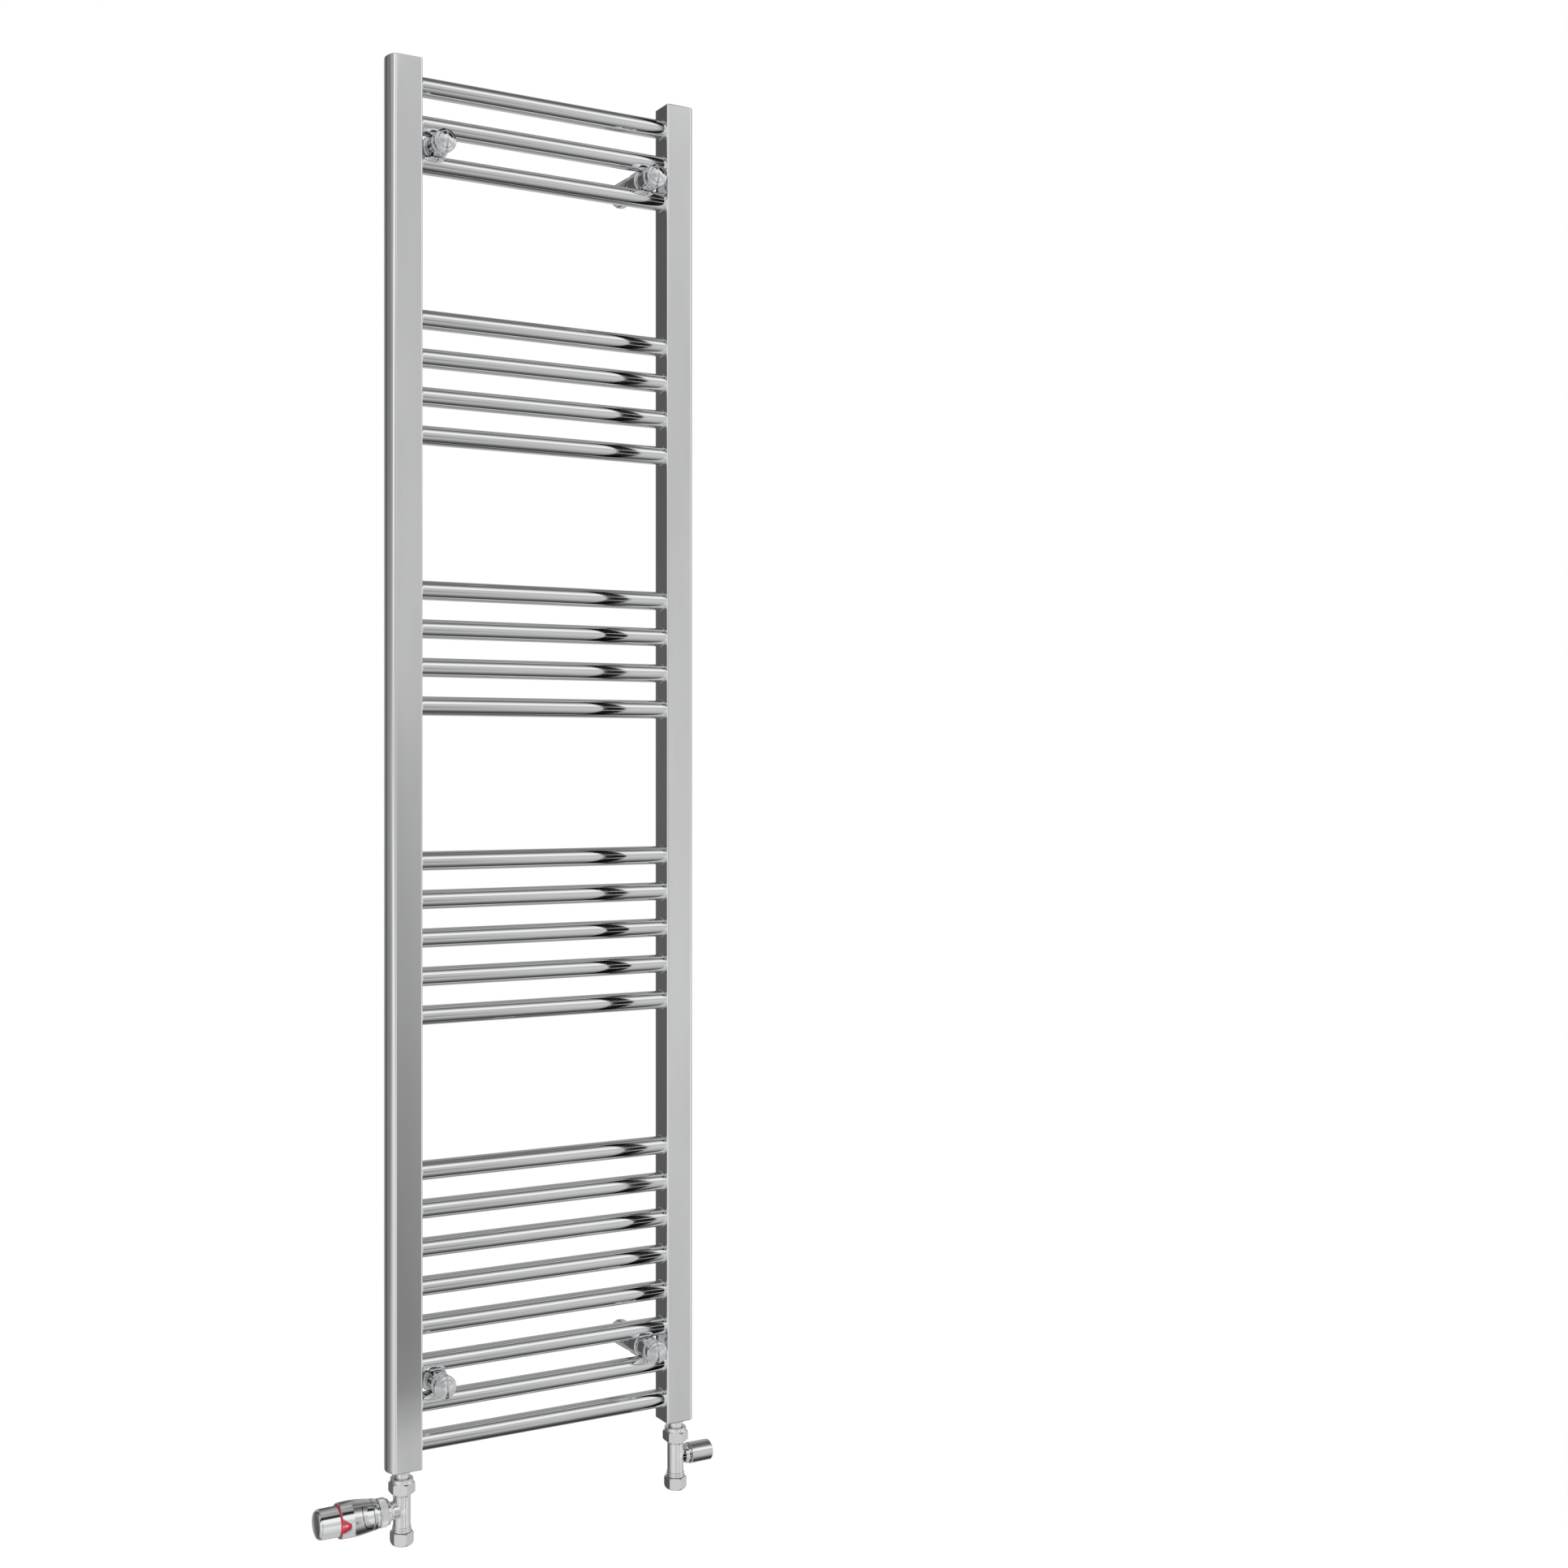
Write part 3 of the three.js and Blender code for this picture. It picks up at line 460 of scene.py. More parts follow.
def put(name, parts, material, place, body, slot, *nodes):
    """A piece that moves with a body and stands for its CAD nodes, which it hides. Its slot is not used."""
    piece = add_piece(name, parts, material, place)
    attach(piece, body)
    if nodes:
        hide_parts(*nodes)


BEAD_TIP = 0.02                         # a bead's ends keep this share of its width


def bead(path, ups, half_width, height, closed=False, sides=10, cap=4):
    """A raised bead with a half-round section along a path of points on a surface."""
    path = np.asarray(path, float)
    ups = np.asarray(ups, float)
    count = len(path)
    if closed:
        ways = np.roll(path, -1, 0) - np.roll(path, 1, 0)
    else:
        ways = np.gradient(path, axis=0)
    ways /= np.linalg.norm(ways, axis=1)[:, None]
    sections = [(path[i], ways[i], ups[i], 1.0) for i in range(count)]
    if not closed:
        turns = [math.pi / 2 * k / cap for k in range(cap, 0, -1)]
        start = [(path[0] - ways[0] * half_width * math.sin(t), ways[0], ups[0], math.cos(t)) for t in turns]
        end = [(path[-1] + ways[-1] * half_width * math.sin(t), ways[-1], ups[-1], math.cos(t))
               for t in reversed(turns)]
        sections = start + sections + end
    points, rings = [], []
    for spot, way, up, size in sections:
        side = np.cross(up, way)
        rings.append(range(len(points), len(points) + sides))
        for k in range(sides):
            angle = TURN * k / sides
            offset = side * half_width * math.cos(angle) + up * height * math.sin(angle)
            points.append((spot + offset * max(size, BEAD_TIP)).tolist())
    faces = []
    pairs = list(zip(rings, rings[1:]))
    if closed:
        pairs.append((rings[-1], rings[0]))
    for low, high in pairs:
        for j in range(sides):
            k = (j + 1) % sides
            faces.append((low[k], high[k], high[j], low[j]))
    if not closed:
        faces.append(tuple(reversed(rings[0])))
        faces.append(tuple(rings[-1]))
    return points, faces, None


def round_the_axis(turns, radius, x):
    """Points and outward directions at angles round the x axis."""
    ups = [np.array([0, math.cos(t), math.sin(t)]) for t in turns]
    return [np.array([x, 0, 0]) + up * radius for up in ups], ups


# ======== camera

FOCAL_WIDTHS = 1.15528                  # focal length over the picture's width
CAMERA_PLACE = (-0.954, -1.976, -0.0016)
CAMERA_AZIMUTH = math.radians(26.33)
CAMERA_SHIFT = (0.1573, -0.012)         # the object stands left of the middle
SENSOR = 36.0

camera_data = bpy.data.cameras.new("camera")
camera_data.sensor_width = SENSOR
camera_data.lens = SENSOR * FOCAL_WIDTHS
camera_data.shift_x, camera_data.shift_y = CAMERA_SHIFT
camera = bpy.data.objects.new("camera", camera_data)
camera.location = CAMERA_PLACE
camera.rotation_euler = (math.pi / 2, 0, -CAMERA_AZIMUTH)
bpy.context.scene.collection.objects.link(camera)
bpy.context.scene.camera = camera
bpy.context.scene.view_settings.view_transform = "Standard"


# ======== studio

def tone(value):
    """Linear light of a screen tone from 0 to 255."""
    share = value / 255
    return share / 12.92 if share <= 0.04045 else ((share + 0.055) / 1.055) ** 2.4


CHROME_SHINE = 0.8                      # how much of the studio's light chrome gives back

# The studio's tones by height, in degrees up from level in front of the radiator.
# Beside the middle: a pale floor and wall, a bright window above, and a dim ceiling.
LADDER_TONES = [
    (-180, 195), (-150, 190), (-122, 142), (-104, 76), (-89, 52), (-76, 66), (-63, 98), (-52, 140),
    (-41, 178), (-30, 190), (-16, 198), (-8, 206), (-2, 206), (4, 200), (14, 198), (22, 202), (29, 251),
    (42, 252), (52, 208), (63, 140), (76, 102), (89, 104), (104, 92), (122, 145), (150, 158), (166, 185),
    (180, 195),
]
# Further out: pale screens, a taller window with a dark blind over it, and a grey wall.
SCREEN_TONES = [
    (-180, 185), (-150, 165), (-122, 190), (-98, 205), (-72, 196), (-52, 208), (-30, 224), (-14, 238),
    (-2, 208), (14, 214), (22, 244), (30, 252), (46, 252), (50, 128), (55, 44), (66, 40), (70, 132),
    (80, 168), (104, 186), (128, 150), (155, 165), (180, 185),
]
# How much darker the studio is towards the left of the middle, by height.
LEFT_SHARES = [
    (-60, 1.0), (-40, 0.9), (-22, 0.95), (-20.3, 0.5), (-18.7, 0.42), (-14.5, 0.43), (-10, 0.485),
    (-5.5, 0.565), (-1, 0.67), (3.7, 0.925), (8.3, 0.95), (12.8, 0.97), (17, 0.93), (24, 0.88), (34, 1),
]
# How bright the studio is round the horizon, in degrees to the right of straight in front.
ROUND_SHARES = [
    (-180, 1.05), (-168, 0.95), (-162, 0.42), (-152, 0.24), (-142, 0.24), (-130, 0.5), (-112, 0.6), (-100, 1),
    (-75, 1.1), (-58, 1.1), (-40, 0.9), (-18, 0.75), (2, 0.8), (14, 1), (156, 1), (160, 0.3), (164, 0.3),
    (168, 1), (180, 1.05),
]
ROUND_MOST = 1.1
LEFT_FADE = (20.5, 28.0)                # degrees to the side, as long round pieces see it
SCREENS_LEFT, SCREENS_RIGHT = (19.6, 20.6), (31.9, 32.6)
FRAME_EDGE = (28.4, 29.1)               # a dark upright of the window frame
FRAME_BEND, FRAME_BENT = 0.9, 90        # it bends this far by this many degrees off level
FRAME_REACH = 95
FRAME_OPENING, FRAME_OPENING_TOP = 30, 23.5      # where a window opening hides it
FRAME_DARK = 0.985                      # how much of the light behind it the frame takes
BACKGROUND = (1.0, 1.0, 1.0, 1)


def ramp(tree, value, stops, low=-180.0, high=180.0):
    """A colour ramp over degrees; each stop is (degrees, grey)."""
    place = remap(tree, value, 0, 1, math.radians(low), math.radians(high))
    node = tree.nodes.new("ShaderNodeValToRGB")
    elements = node.color_ramp.elements
    elements[0].color = (*[stops[0][1]] * 3, 1)
    elements[1].color = (*[stops[-1][1]] * 3, 1)
    for angle, grey in stops[1:-1]:
        element = elements.new((angle - low) / (high - low))
        element.color = (grey, grey, grey, 1)
    connect(tree, node.inputs["Fac"], place)
    return node.outputs["Color"]


def product(tree, *values):
    out = values[0]
    for value in values[1:]:
        out = arithmetic(tree, "MULTIPLY", out, value)
    return out


def fade(tree, value, degrees):
    """0 before the first angle, 1 after the second."""
    out = remap(tree, value, 0, 1, math.radians(degrees[0]), math.radians(degrees[1]))
    out.node.interpolation_type = "SMOOTHSTEP"
    return out


def blend_values(tree, share, first, second):
    """first where share is 0, second where it is 1."""
    return arithmetic(tree, "ADD", first, product(tree, share, arithmetic(tree, "SUBTRACT", second, first)))


def window_frame(tree, height, sideways, round_about):
    """1 on the dark upright of the window frame, which bends away from the horizon."""
    def past(value, degrees, operation="GREATER_THAN"):
        return arithmetic(tree, operation, value, math.radians(degrees))

    off_level = arithmetic(tree, "ABSOLUTE", height)
    bent = arithmetic(tree, "DIVIDE", off_level, math.radians(FRAME_BENT))
    side = arithmetic(tree, "ADD", sideways, product(tree, bent, bent, math.radians(FRAME_BEND)))
    opening = arithmetic(tree, "MAXIMUM", past(off_level, FRAME_OPENING_TOP),
                         past(round_about, FRAME_OPENING, "LESS_THAN"))
    return product(tree, past(side, FRAME_EDGE[0]), past(side, FRAME_EDGE[1], "LESS_THAN"),
                   past(off_level, FRAME_REACH, "LESS_THAN"), opening)


def build_studio():
    """The room that the chrome reflects. The camera itself sees a plain background."""
    world = bpy.data.worlds.new("studio")
    world.use_nodes = True
    tree = world.node_tree
    tree.nodes.clear()
    split = tree.nodes.new("ShaderNodeSeparateXYZ")
    connect(tree, split.inputs[0], add_node(tree, "TexCoord", "Generated"))
    ahead = arithmetic(tree, "MULTIPLY", split.outputs["Y"], -1.0)
    height = arithmetic(tree, "ARCTAN2", split.outputs["Z"], ahead)
    round_about = arithmetic(tree, "ARCTAN2", split.outputs["X"], ahead)
    sideways = arithmetic(tree, "ARCSINE", split.outputs["X"])

    def lights(tones):
        return [(angle, tone(value) / CHROME_SHINE) for angle, value in tones]

    ladder = ramp(tree, height, lights(LADDER_TONES))
    screens = ramp(tree, height, lights(SCREEN_TONES))
    left = ramp(tree, height, LEFT_SHARES, LEFT_SHARES[0][0], LEFT_SHARES[-1][0])
    around = ramp(tree, round_about, [(angle, share / ROUND_MOST) for angle, share in ROUND_SHARES])
    ladder = product(tree, ladder, blend_values(tree, fade(tree, sideways, LEFT_FADE), left, 1.0))
    on_left = arithmetic(tree, "SUBTRACT", 1.0, fade(tree, sideways, SCREENS_LEFT))
    beside = arithmetic(tree, "MAXIMUM", on_left, fade(tree, sideways, SCREENS_RIGHT))
    shaded = product(tree, window_frame(tree, height, sideways, round_about), FRAME_DARK)
    light = product(tree, blend_values(tree, beside, ladder, screens), around, ROUND_MOST,
                    arithmetic(tree, "SUBTRACT", 1.0, shaded))
    mix = tree.nodes.new("ShaderNodeMixShader")
    connect(tree, mix.inputs["Fac"], add_node(tree, "LightPath", "Is Camera Ray"))
    connect(tree, mix.inputs[1], add_node(tree, "Background", "Background", Strength=light))
    connect(tree, mix.inputs[2], add_node(tree, "Background", "Background", Color=BACKGROUND))
    output = tree.nodes.new("ShaderNodeOutputWorld")
    connect(tree, output.inputs["Surface"], mix.outputs["Shader"])
    bpy.context.scene.world = world


FLOOR_HEIGHT, FLOOR_RADIUS, FLOOR_RINGS = -1000, 1600, 12
FLOOR_COLOUR, FLOOR_ROUGH, FLOOR_GLOW = (0.35, 0.35, 0.35, 1), 0.9, 0.9
FLOOR_FADE = (0.2, 1.52)                # metres from the middle


def build_floor():
    """A pale round floor that fades out, so it never shows in the chrome."""
    material, tree, shader, place = node_tree("floor_paper")
    shader.inputs["Base Color"].default_value = FLOOR_COLOUR
    shader.inputs["Roughness"].default_value = FLOOR_ROUGH
    shader.inputs["Emission Color"].default_value = BACKGROUND
    shader.inputs["Emission Strength"].default_value = FLOOR_GLOW
    length = tree.nodes.new("ShaderNodeVectorMath")
    length.operation = "LENGTH"
    connect(tree, length.inputs[0], add_node(tree, "Mapping", "Vector", Vector=place, Scale=(1, 1, 0)))
    connect(tree, shader.inputs["Alpha"], remap(tree, length.outputs["Value"], 1, 0, *FLOOR_FADE))
    rings = [(FLOOR_HEIGHT, FLOOR_RADIUS * k / FLOOR_RINGS, 1, 0) for k in range(FLOOR_RINGS, -1, -1)]
    floor = add_piece("floor", [turned(rings, axis="z")], material, shift((0, 0, 0)))
    floor.visible_glossy = False


def build_lamp(name, place, aim, size, power):
    """A soft light for the plastics and brass; the chrome doesn't see it."""
    data = bpy.data.lights.new(name, "AREA")
    data.size = size
    data.energy = power
    lamp = bpy.data.objects.new(name, data)
    lamp.location = place
    lamp.rotation_euler = (Vector(aim) - Vector(place)).to_track_quat("-Z", "Y").to_euler()
    lamp.visible_glossy = False
    bpy.context.scene.collection.objects.link(lamp)


build_studio()
build_floor()
build_lamp("key_light", place=(-1.6, -2.4, 1.2), aim=(-0.2, 0, -0.8), size=1.6, power=55)
build_lamp("fill_light", place=(1.8, 1.6, 0.8), aim=(0.2, 0, -0.8), size=1.6, power=18)


# ======== uprights

UPRIGHT_WIDTH, UPRIGHT_DEPTH = 40, 30
UPRIGHT_BULGE, UPRIGHT_CORNER = 5.5, 2.5
UPRIGHT_EDGE, EDGE_STEPS = 1.0, 5
CORNER_SHRINK, CORNER_LEAST, CORNER_SIDE = 0.6, 0.5, 0.7
CORNER_STEPS, CROWN_STEPS = 10, 24
FOOT_BORE, FOOT_DEPTH, FOOT_BEVEL = 10.7, 12, 0.8


def upright_outline(inset):
    """(x, y, normal x, normal y) round the D section, its outer side towards +X."""
    front, back = -UPRIGHT_DEPTH / 2 + inset, UPRIGHT_DEPTH / 2 - inset
    shoulder = UPRIGHT_WIDTH - UPRIGHT_BULGE - inset
    corner = max(UPRIGHT_CORNER - inset * CORNER_SHRINK, CORNER_LEAST)
    side = shoulder + corner * CORNER_SIDE
    beyond = 2 * (UPRIGHT_WIDTH - inset) - side      # pulls the crown out to the full width
    curves = [
        ((shoulder - corner, front), (shoulder, front), (side, front + corner)),
        ((side, front + corner), (beyond, 0), (side, back - corner)),
        ((side, back - corner), (shoulder, back), (shoulder - corner, back)),
        ((inset + corner, back), (inset, back), (inset, back - corner)),
        ((inset, front + corner), (inset, front), (inset + corner, front)),
    ]
    out = []
    for index, curve in enumerate(curves):
        start, control, end = (np.array(v, float) for v in curve)
        crown = index == 1              # its ends belong to the corners beside it
        steps = CROWN_STEPS if crown else CORNER_STEPS
        for step in range(int(crown), steps + 1 - int(crown)):
            t = step / steps
            spot = (1 - t) ** 2 * start + 2 * t * (1 - t) * control + t * t * end
            way = 2 * (1 - t) * (control - start) + 2 * t * (end - control)
            way = way / np.linalg.norm(way)
            out.append((*spot, way[1], -way[0]))
    return out


def upright_mesh():
    half = (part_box("upright_left")[1].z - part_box("upright_left")[0].z) / 2 / MM
    points, normals, rings, faces = [], [], [], []

    def add_ring(outline, z, tilt):
        rings.append(list(range(len(points), len(points) + len(outline))))
        for x, y, nx, ny in outline:
            points.append((x, y, z))
            normals.append((nx * math.cos(tilt), ny * math.cos(tilt), math.sin(tilt)))

    def bore_ring(radius, z, normal_of):
        outline = upright_outline(UPRIGHT_EDGE)
        rings.append(list(range(len(points), len(points) + len(outline))))
        for x, y, _, _ in outline:
            angle = math.atan2(y, x - UPRIGHT_WIDTH / 2)
            way = (math.cos(angle), math.sin(angle))
            points.append((UPRIGHT_WIDTH / 2 + radius * way[0], radius * way[1], z))
            normals.append(normal_of(way))

    bore_ring(FOOT_BORE, -half + FOOT_DEPTH, lambda way: (-way[0], -way[1], 0))
    bore_ring(FOOT_BORE, -half + FOOT_BEVEL, lambda way: (-way[0], -way[1], 0))
    bore_ring(FOOT_BORE + FOOT_BEVEL, -half, lambda way: (0, 0, -1))
    for end in (-1, 1):
        for step in range(EDGE_STEPS + 1):
            share = step / EDGE_STEPS
            tilt = math.pi / 2 * (share if end > 0 else share - 1)
            inset = UPRIGHT_EDGE * (1 - math.cos(tilt))
            z = end * (half - UPRIGHT_EDGE * (1 - abs(math.sin(tilt))))
            add_ring(upright_outline(inset), z, tilt)
    count = len(rings[0])
    for low, high in zip(rings, rings[1:]):
        for j in range(count):
            k = (j + 1) % count
            faces.append((low[j], low[k], high[k], high[j]))
    faces.append(tuple(rings[-1]))
    faces.append(tuple(reversed(rings[0])))
    return points, faces, normals


def build_uprights():
    for side, name in ((-1, "upright_left"), (1, "upright_right")):
        low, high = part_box(name)
        inner = high.x if side < 0 else low.x
        centre = middle(name)
        place = Matrix.Translation((inner, centre.y, centre.z))
        if side < 0:
            place = place @ Matrix.Rotation(math.pi, 4, "Z")
        put(name + "_tube", [upright_mesh()], tube_chrome, np.array(place), "radiator", "chrome_steel", name)


# ======== rails

RAIL_RADIUS, RAIL_SIDES = 11, 80
WELD_HEIGHT, WELD_LENGTH, WELD_WAIST = 0.9, 1.6, 0.35
WELD_EDGE, WELD_HOLLOW, WELD_TOE = 0.15, 0.8, 1.2    # its roundings


def build_rails():
    reach = -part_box("upright_left")[1].x / MM
    corners = [
        (-reach, 0), (-reach, RAIL_RADIUS + WELD_HEIGHT, WELD_EDGE),
        (-reach + WELD_LENGTH * WELD_WAIST, RAIL_RADIUS + WELD_HEIGHT * WELD_WAIST, WELD_HOLLOW),
        (-reach + WELD_LENGTH, RAIL_RADIUS, WELD_TOE),
    ]
    mirrored = [(-c[0], *c[1:]) for c in reversed(corners)]
    mesh = turned(rounded(corners + mirrored), RAIL_SIDES)
    for name in sorted(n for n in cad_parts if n.startswith("rail_")):
        put(name + "_tube", [mesh], rail_chrome, shift(middle(name)), "radiator", "chrome_steel", name)


# ======== wall brackets

# Places along Y are counted from the wall. A turned step is (radius, start, end, edge).
RAIL_PITCH, RAIL_AXIS_Y = 44, -65
RAIL_CLEARANCE, CRADLE_EDGE = 0.12, 0.7
SCREW_HOLE = 2.75
SOCKET_RADIUS, SOCKET_LENGTH, SOCKET_BASE, SOCKET_BORE = 15, 34, 4, 11.4
SOCKET_OUTLINE = (
    (-SOCKET_LENGTH, SOCKET_RADIUS, 1.0), (0, SOCKET_RADIUS, 0.5), (0, SCREW_HOLE, 0.4),
    (-SOCKET_BASE, SCREW_HOLE, 0.4), (-SOCKET_BASE, SOCKET_BORE, 0.8), (-SOCKET_LENGTH, SOCKET_BORE, 0.5),
)
ARM_SADDLE = (15.5, RAIL_AXIS_Y + 0.3, -46, 1.2)
ARM_SHANK = (11, -50, -10, 0.8)
ARM_FILLET = 1.6
CLAMP_BLOCK = (13, -82.5, RAIL_AXIS_Y - 0.3, 0.8)
BUTTON_FRONT, BUTTON_BACK = -98.45, -81.5
BUTTON_RADIUS, BUTTON_WAIST = 13.6, 11.6
# Behind the front: a domed disc, the groove round it, the rim, the side and the waist.
BUTTON_OUTLINE = (
    (0, 0), (0.4, 4.2, 14), (2.2, 9.3, 1.2), (3.6, 9.7, 0.3), (3.4, 10.2, 0.4), (4.4, 12.8, 0.9),
    (5.6, BUTTON_RADIUS, 0.9), (9.4, BUTTON_RADIUS, 1.2), (10.2, BUTTON_WAIST, 1.0),
    (BUTTON_BACK - BUTTON_FRONT, BUTTON_WAIST, 0.5), (BUTTON_BACK - BUTTON_FRONT, 0),
)
GRUB_BODY = (2.3, -2.2, 0.9, 0.3)
GRUB_KEY, GRUB_KEY_FLOOR, GRUB_KEY_EDGE = 2.5, -0.9, 0.12
GRUB_PLACE = Vector((0, -26, -13.2)) * MM      # in the underside of the wall socket


def off_the_rails(p, d):
    for side in (-1, 1):
        rail = bar_distance(p, "x", RAIL_RADIUS + RAIL_CLEARANCE, centre=(RAIL_AXIS_Y, side * RAIL_PITCH / 2))
        d = smooth_max(d, -rail, CRADLE_EDGE)
    return d


def arm_distance(p):
    saddle = bar_distance(p, "y", *ARM_SADDLE)
    return off_the_rails(p, smooth_min(saddle, bar_distance(p, "y", *ARM_SHANK), ARM_FILLET))


def clamp_distance(p):
    return off_the_rails(p, bar_distance(p, "y", *CLAMP_BLOCK))


def grub_distance(p):
    socket = np.maximum(hexagon_distance(p, "z", GRUB_KEY), p[:, 2] - GRUB_KEY_FLOOR)
    return smooth_max(bar_distance(p, "z", *GRUB_BODY), -socket, GRUB_KEY_EDGE)


def build_brackets():
    socket = turned(rounded(SOCKET_OUTLINE, closed=True), axis="y")
    arm = net_along("y", arm_distance, 16, RAIL_AXIS_Y, -10, 0.55)
    clamp = net_along("y", clamp_distance, 13.5, -83, RAIL_AXIS_Y, 0.5)
    button = turned(rounded([(BUTTON_FRONT + c[0], *c[1:]) for c in BUTTON_OUTLINE]), axis="y")
    grub = net_along("z", grub_distance, 2.4, -2.3, 1.0, 0.16)
    for node in sorted(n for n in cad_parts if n.startswith("wall_socket_")):
        corner = node[len("wall_socket_"):]
        centre = middle(node)
        wall = Vector((centre.x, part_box(node)[1].y, centre.z))
        for name, parts, spot, material, body, nodes in (
            ("socket_", [socket], wall, bracket_chrome, "wall_mounts", ["wall_socket_"]),
            ("grub_screw_", [grub], wall + GRUB_PLACE, zinc_steel, "wall_mounts", []),
            ("arm_", [arm], wall, bracket_chrome, "radiator", ["bracket_arm_"]),
            ("clamp_", [clamp, button], wall, bracket_chrome, "radiator", ["front_clamp_"]),
        ):
            replaced = [prefix + corner for prefix in nodes]
            put(name + corner, parts, material, shift(spot), body, "chrome_bracket", *replaced)


# ======== rear ports

# Places along Y are counted from the uprights' back.
PORT_HEAD, PORT_RADIUS = 4.0, 10
BLANK_HEAD = (PORT_RADIUS, -0.4, PORT_HEAD, 1.2)
BLANK_KEY, BLANK_KEY_FLOOR = 8, 0.6
BLEED_SHANK = (3.15, -0.6, 3, 0.4)
BLEED_SQUARE, BLEED_SQUARE_START, BLEED_SQUARE_END = 4.9, 2, 6
# A disc with a recess for the bleed screw's square, and a bore for its shank.
VENT_OUTLINE = (
    (-0.5, 1.6), (-0.5, 7, 0.2), (0.02, 7, 0.1), (0.02, PORT_RADIUS, 0.3), (3.0, PORT_RADIUS, 1.0),
    (PORT_HEAD, 9, 0.6), (PORT_HEAD, 3.7, 0.3), (0.6, 3.7, 0.3), (0.6, 1.6, 0.2), (-0.5, 1.6),
)


def blank_distance(p):
    socket = np.maximum(hexagon_distance(p, "y", BLANK_KEY), BLANK_KEY_FLOOR - p[:, 1])
    return smooth_max(bar_distance(p, "y", *BLANK_HEAD), -socket, CREASE)


def bleed_distance(p):
    square = np.maximum(np.abs(p[:, 0]), np.abs(p[:, 2])) - BLEED_SQUARE / 2
    square = smooth_max(square, BLEED_SQUARE_START - p[:, 1], FILLET)
    square = smooth_max(square, p[:, 1] - BLEED_SQUARE_END, 0.6)
    return smooth_min(bar_distance(p, "y", *BLEED_SHANK), square, CREASE)


def build_ports():
    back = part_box("upright_left")[1].y
    vent = turned(rounded(VENT_OUTLINE), axis="y")
    blank = net_along("y", blank_distance, PORT_RADIUS, -0.5, 4.1, 0.35)
    screw = net_along("y", bleed_distance, 3.3, -0.7, 6, 0.2)
    for mesh, name, node, body, slot, material in (
        (vent, "vent_plug", "air_vent_plug", "radiator", "chrome_steel", cast_chrome),
        (blank, "blank_plug", "blanking_plug", "radiator", "chrome_steel", cast_chrome),
        (screw, "bleed_screw_pin", "bleed_screw", "bleed_screw", "bare_brass", bare_brass),
    ):
        centre = middle(node)
        put(name, [mesh], material, shift((centre.x, back, centre.z)), body, slot, node)


# ======== valve bodies

# A valve's own frame has its head along +X and its barrel along Z, from where the two
# axes cross. Steps and bores are (radius, start, end, edge), and bells are (start, end,
# start radius, end radius, edge).
BARREL_BOTTOM, BARREL_TOP = 30, 27
BARREL_RADIUS, BARREL_TOP_RADIUS = 10, 11.8
BARREL = (BARREL_RADIUS, -BARREL_BOTTOM, BARREL_TOP - 1, 0.5)
LOW_COLLAR, TOP_COLLAR = (11.2, -24.2, -21.8, 0.6), (10.8, -20.7, -18.7, 0.5)
SHOULDER = (16.2, 18.0, 9.9, BARREL_TOP_RADIUS, 0.2)
UNION_SEAT = (BARREL_TOP_RADIUS, 17.9, BARREL_TOP, 0.5)
PIPE_SOCKET = (7.6, -BARREL_BOTTOM - 1, -21)
INLET, INLET_CENTRE = (4, -22, 3.5), (-4.5, 0)
OUTLET, OUTLET_CENTRE = (4, -3.5, BARREL_TOP + 1), (5.2, 0)
SEAT_BORE, CHAMBER = (4, -4, 2.2, 0.3), (6, 1.2, 9.5, 0.3)
NECK_BORE_START = 9

TRV_HEAD_END = 27.5
TRV_NECK, TRV_SPIGOT = (9.95, 0, 16), (12.4, 19.5, TRV_HEAD_END, 0.5)
TRV_BELL, TRV_FLANGE = (14.4, 17.9, 9.6, 14.3, 0.3), (14.4, 17.6, 20.3, 0.5)
TRV_GROOVE, TRV_GROOVE_RADIUS, TRV_GROOVE_SIZE = 19.0, 14.5, 0.35
TRV_PIN_BORE, TRV_BELL_FILLET = 3.2, 2.2

LOCK_HEAD_END = 17.8
LOCK_NECK, LOCK_COLLAR = (9.95, 0, 13), (11.4, 13.6, LOCK_HEAD_END, 0.5)
LOCK_BELL = (11.4, 13.9, 9.7, 11.4, 0.3)
LOCK_BONNET_BORE, LOCK_BELL_FILLET = 7, 1.0
CAST_FILLET = 0.9


def valve_place(prefix):
    """The valve's own frame, turned so that its head points away from the radiator."""
    centre = middle(prefix + "_compression_nut")
    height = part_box(prefix + "_body")[0].z + BARREL_BOTTOM * MM
    place = Matrix.Translation((centre.x, centre.y, height))
    if centre.x < 0:
        place = place @ Matrix.Rotation(math.pi, 4, "Z")
    return np.array(place)


def barrel_distance(p):
    d = bar_distance(p, "z", *BARREL)
    seat = smooth_min(cone_distance(p, "z", *SHOULDER), bar_distance(p, "z", *UNION_SEAT), HAIRLINE)
    for more, blend in (
        (bar_distance(p, "z", *LOW_COLLAR), FILLET), (bar_distance(p, "z", *TOP_COLLAR), FILLET), (seat, 0.6),
    ):
        d = smooth_min(d, more, blend)
    return d


def waterways(p, d):
    """The pipe's socket, and the inlet and outlet bores on either side of the seat."""
    socket = bar_distance(p, "z", *PIPE_SOCKET)
    inlet = bar_distance(p, "z", *INLET, centre=INLET_CENTRE)
    outlet = bar_distance(p, "z", *OUTLET, centre=OUTLET_CENTRE)
    for hole in (socket, inlet, outlet):
        d = smooth_max(d, -hole, FILLET)
    return d


def head_bores(p, d, mouth, end):
    for bore in (SEAT_BORE, CHAMBER, (mouth, NECK_BORE_START, end + 1, 0.3)):
        d = smooth_max(d, -bar_distance(p, "x", *bore), CREASE)
    return d


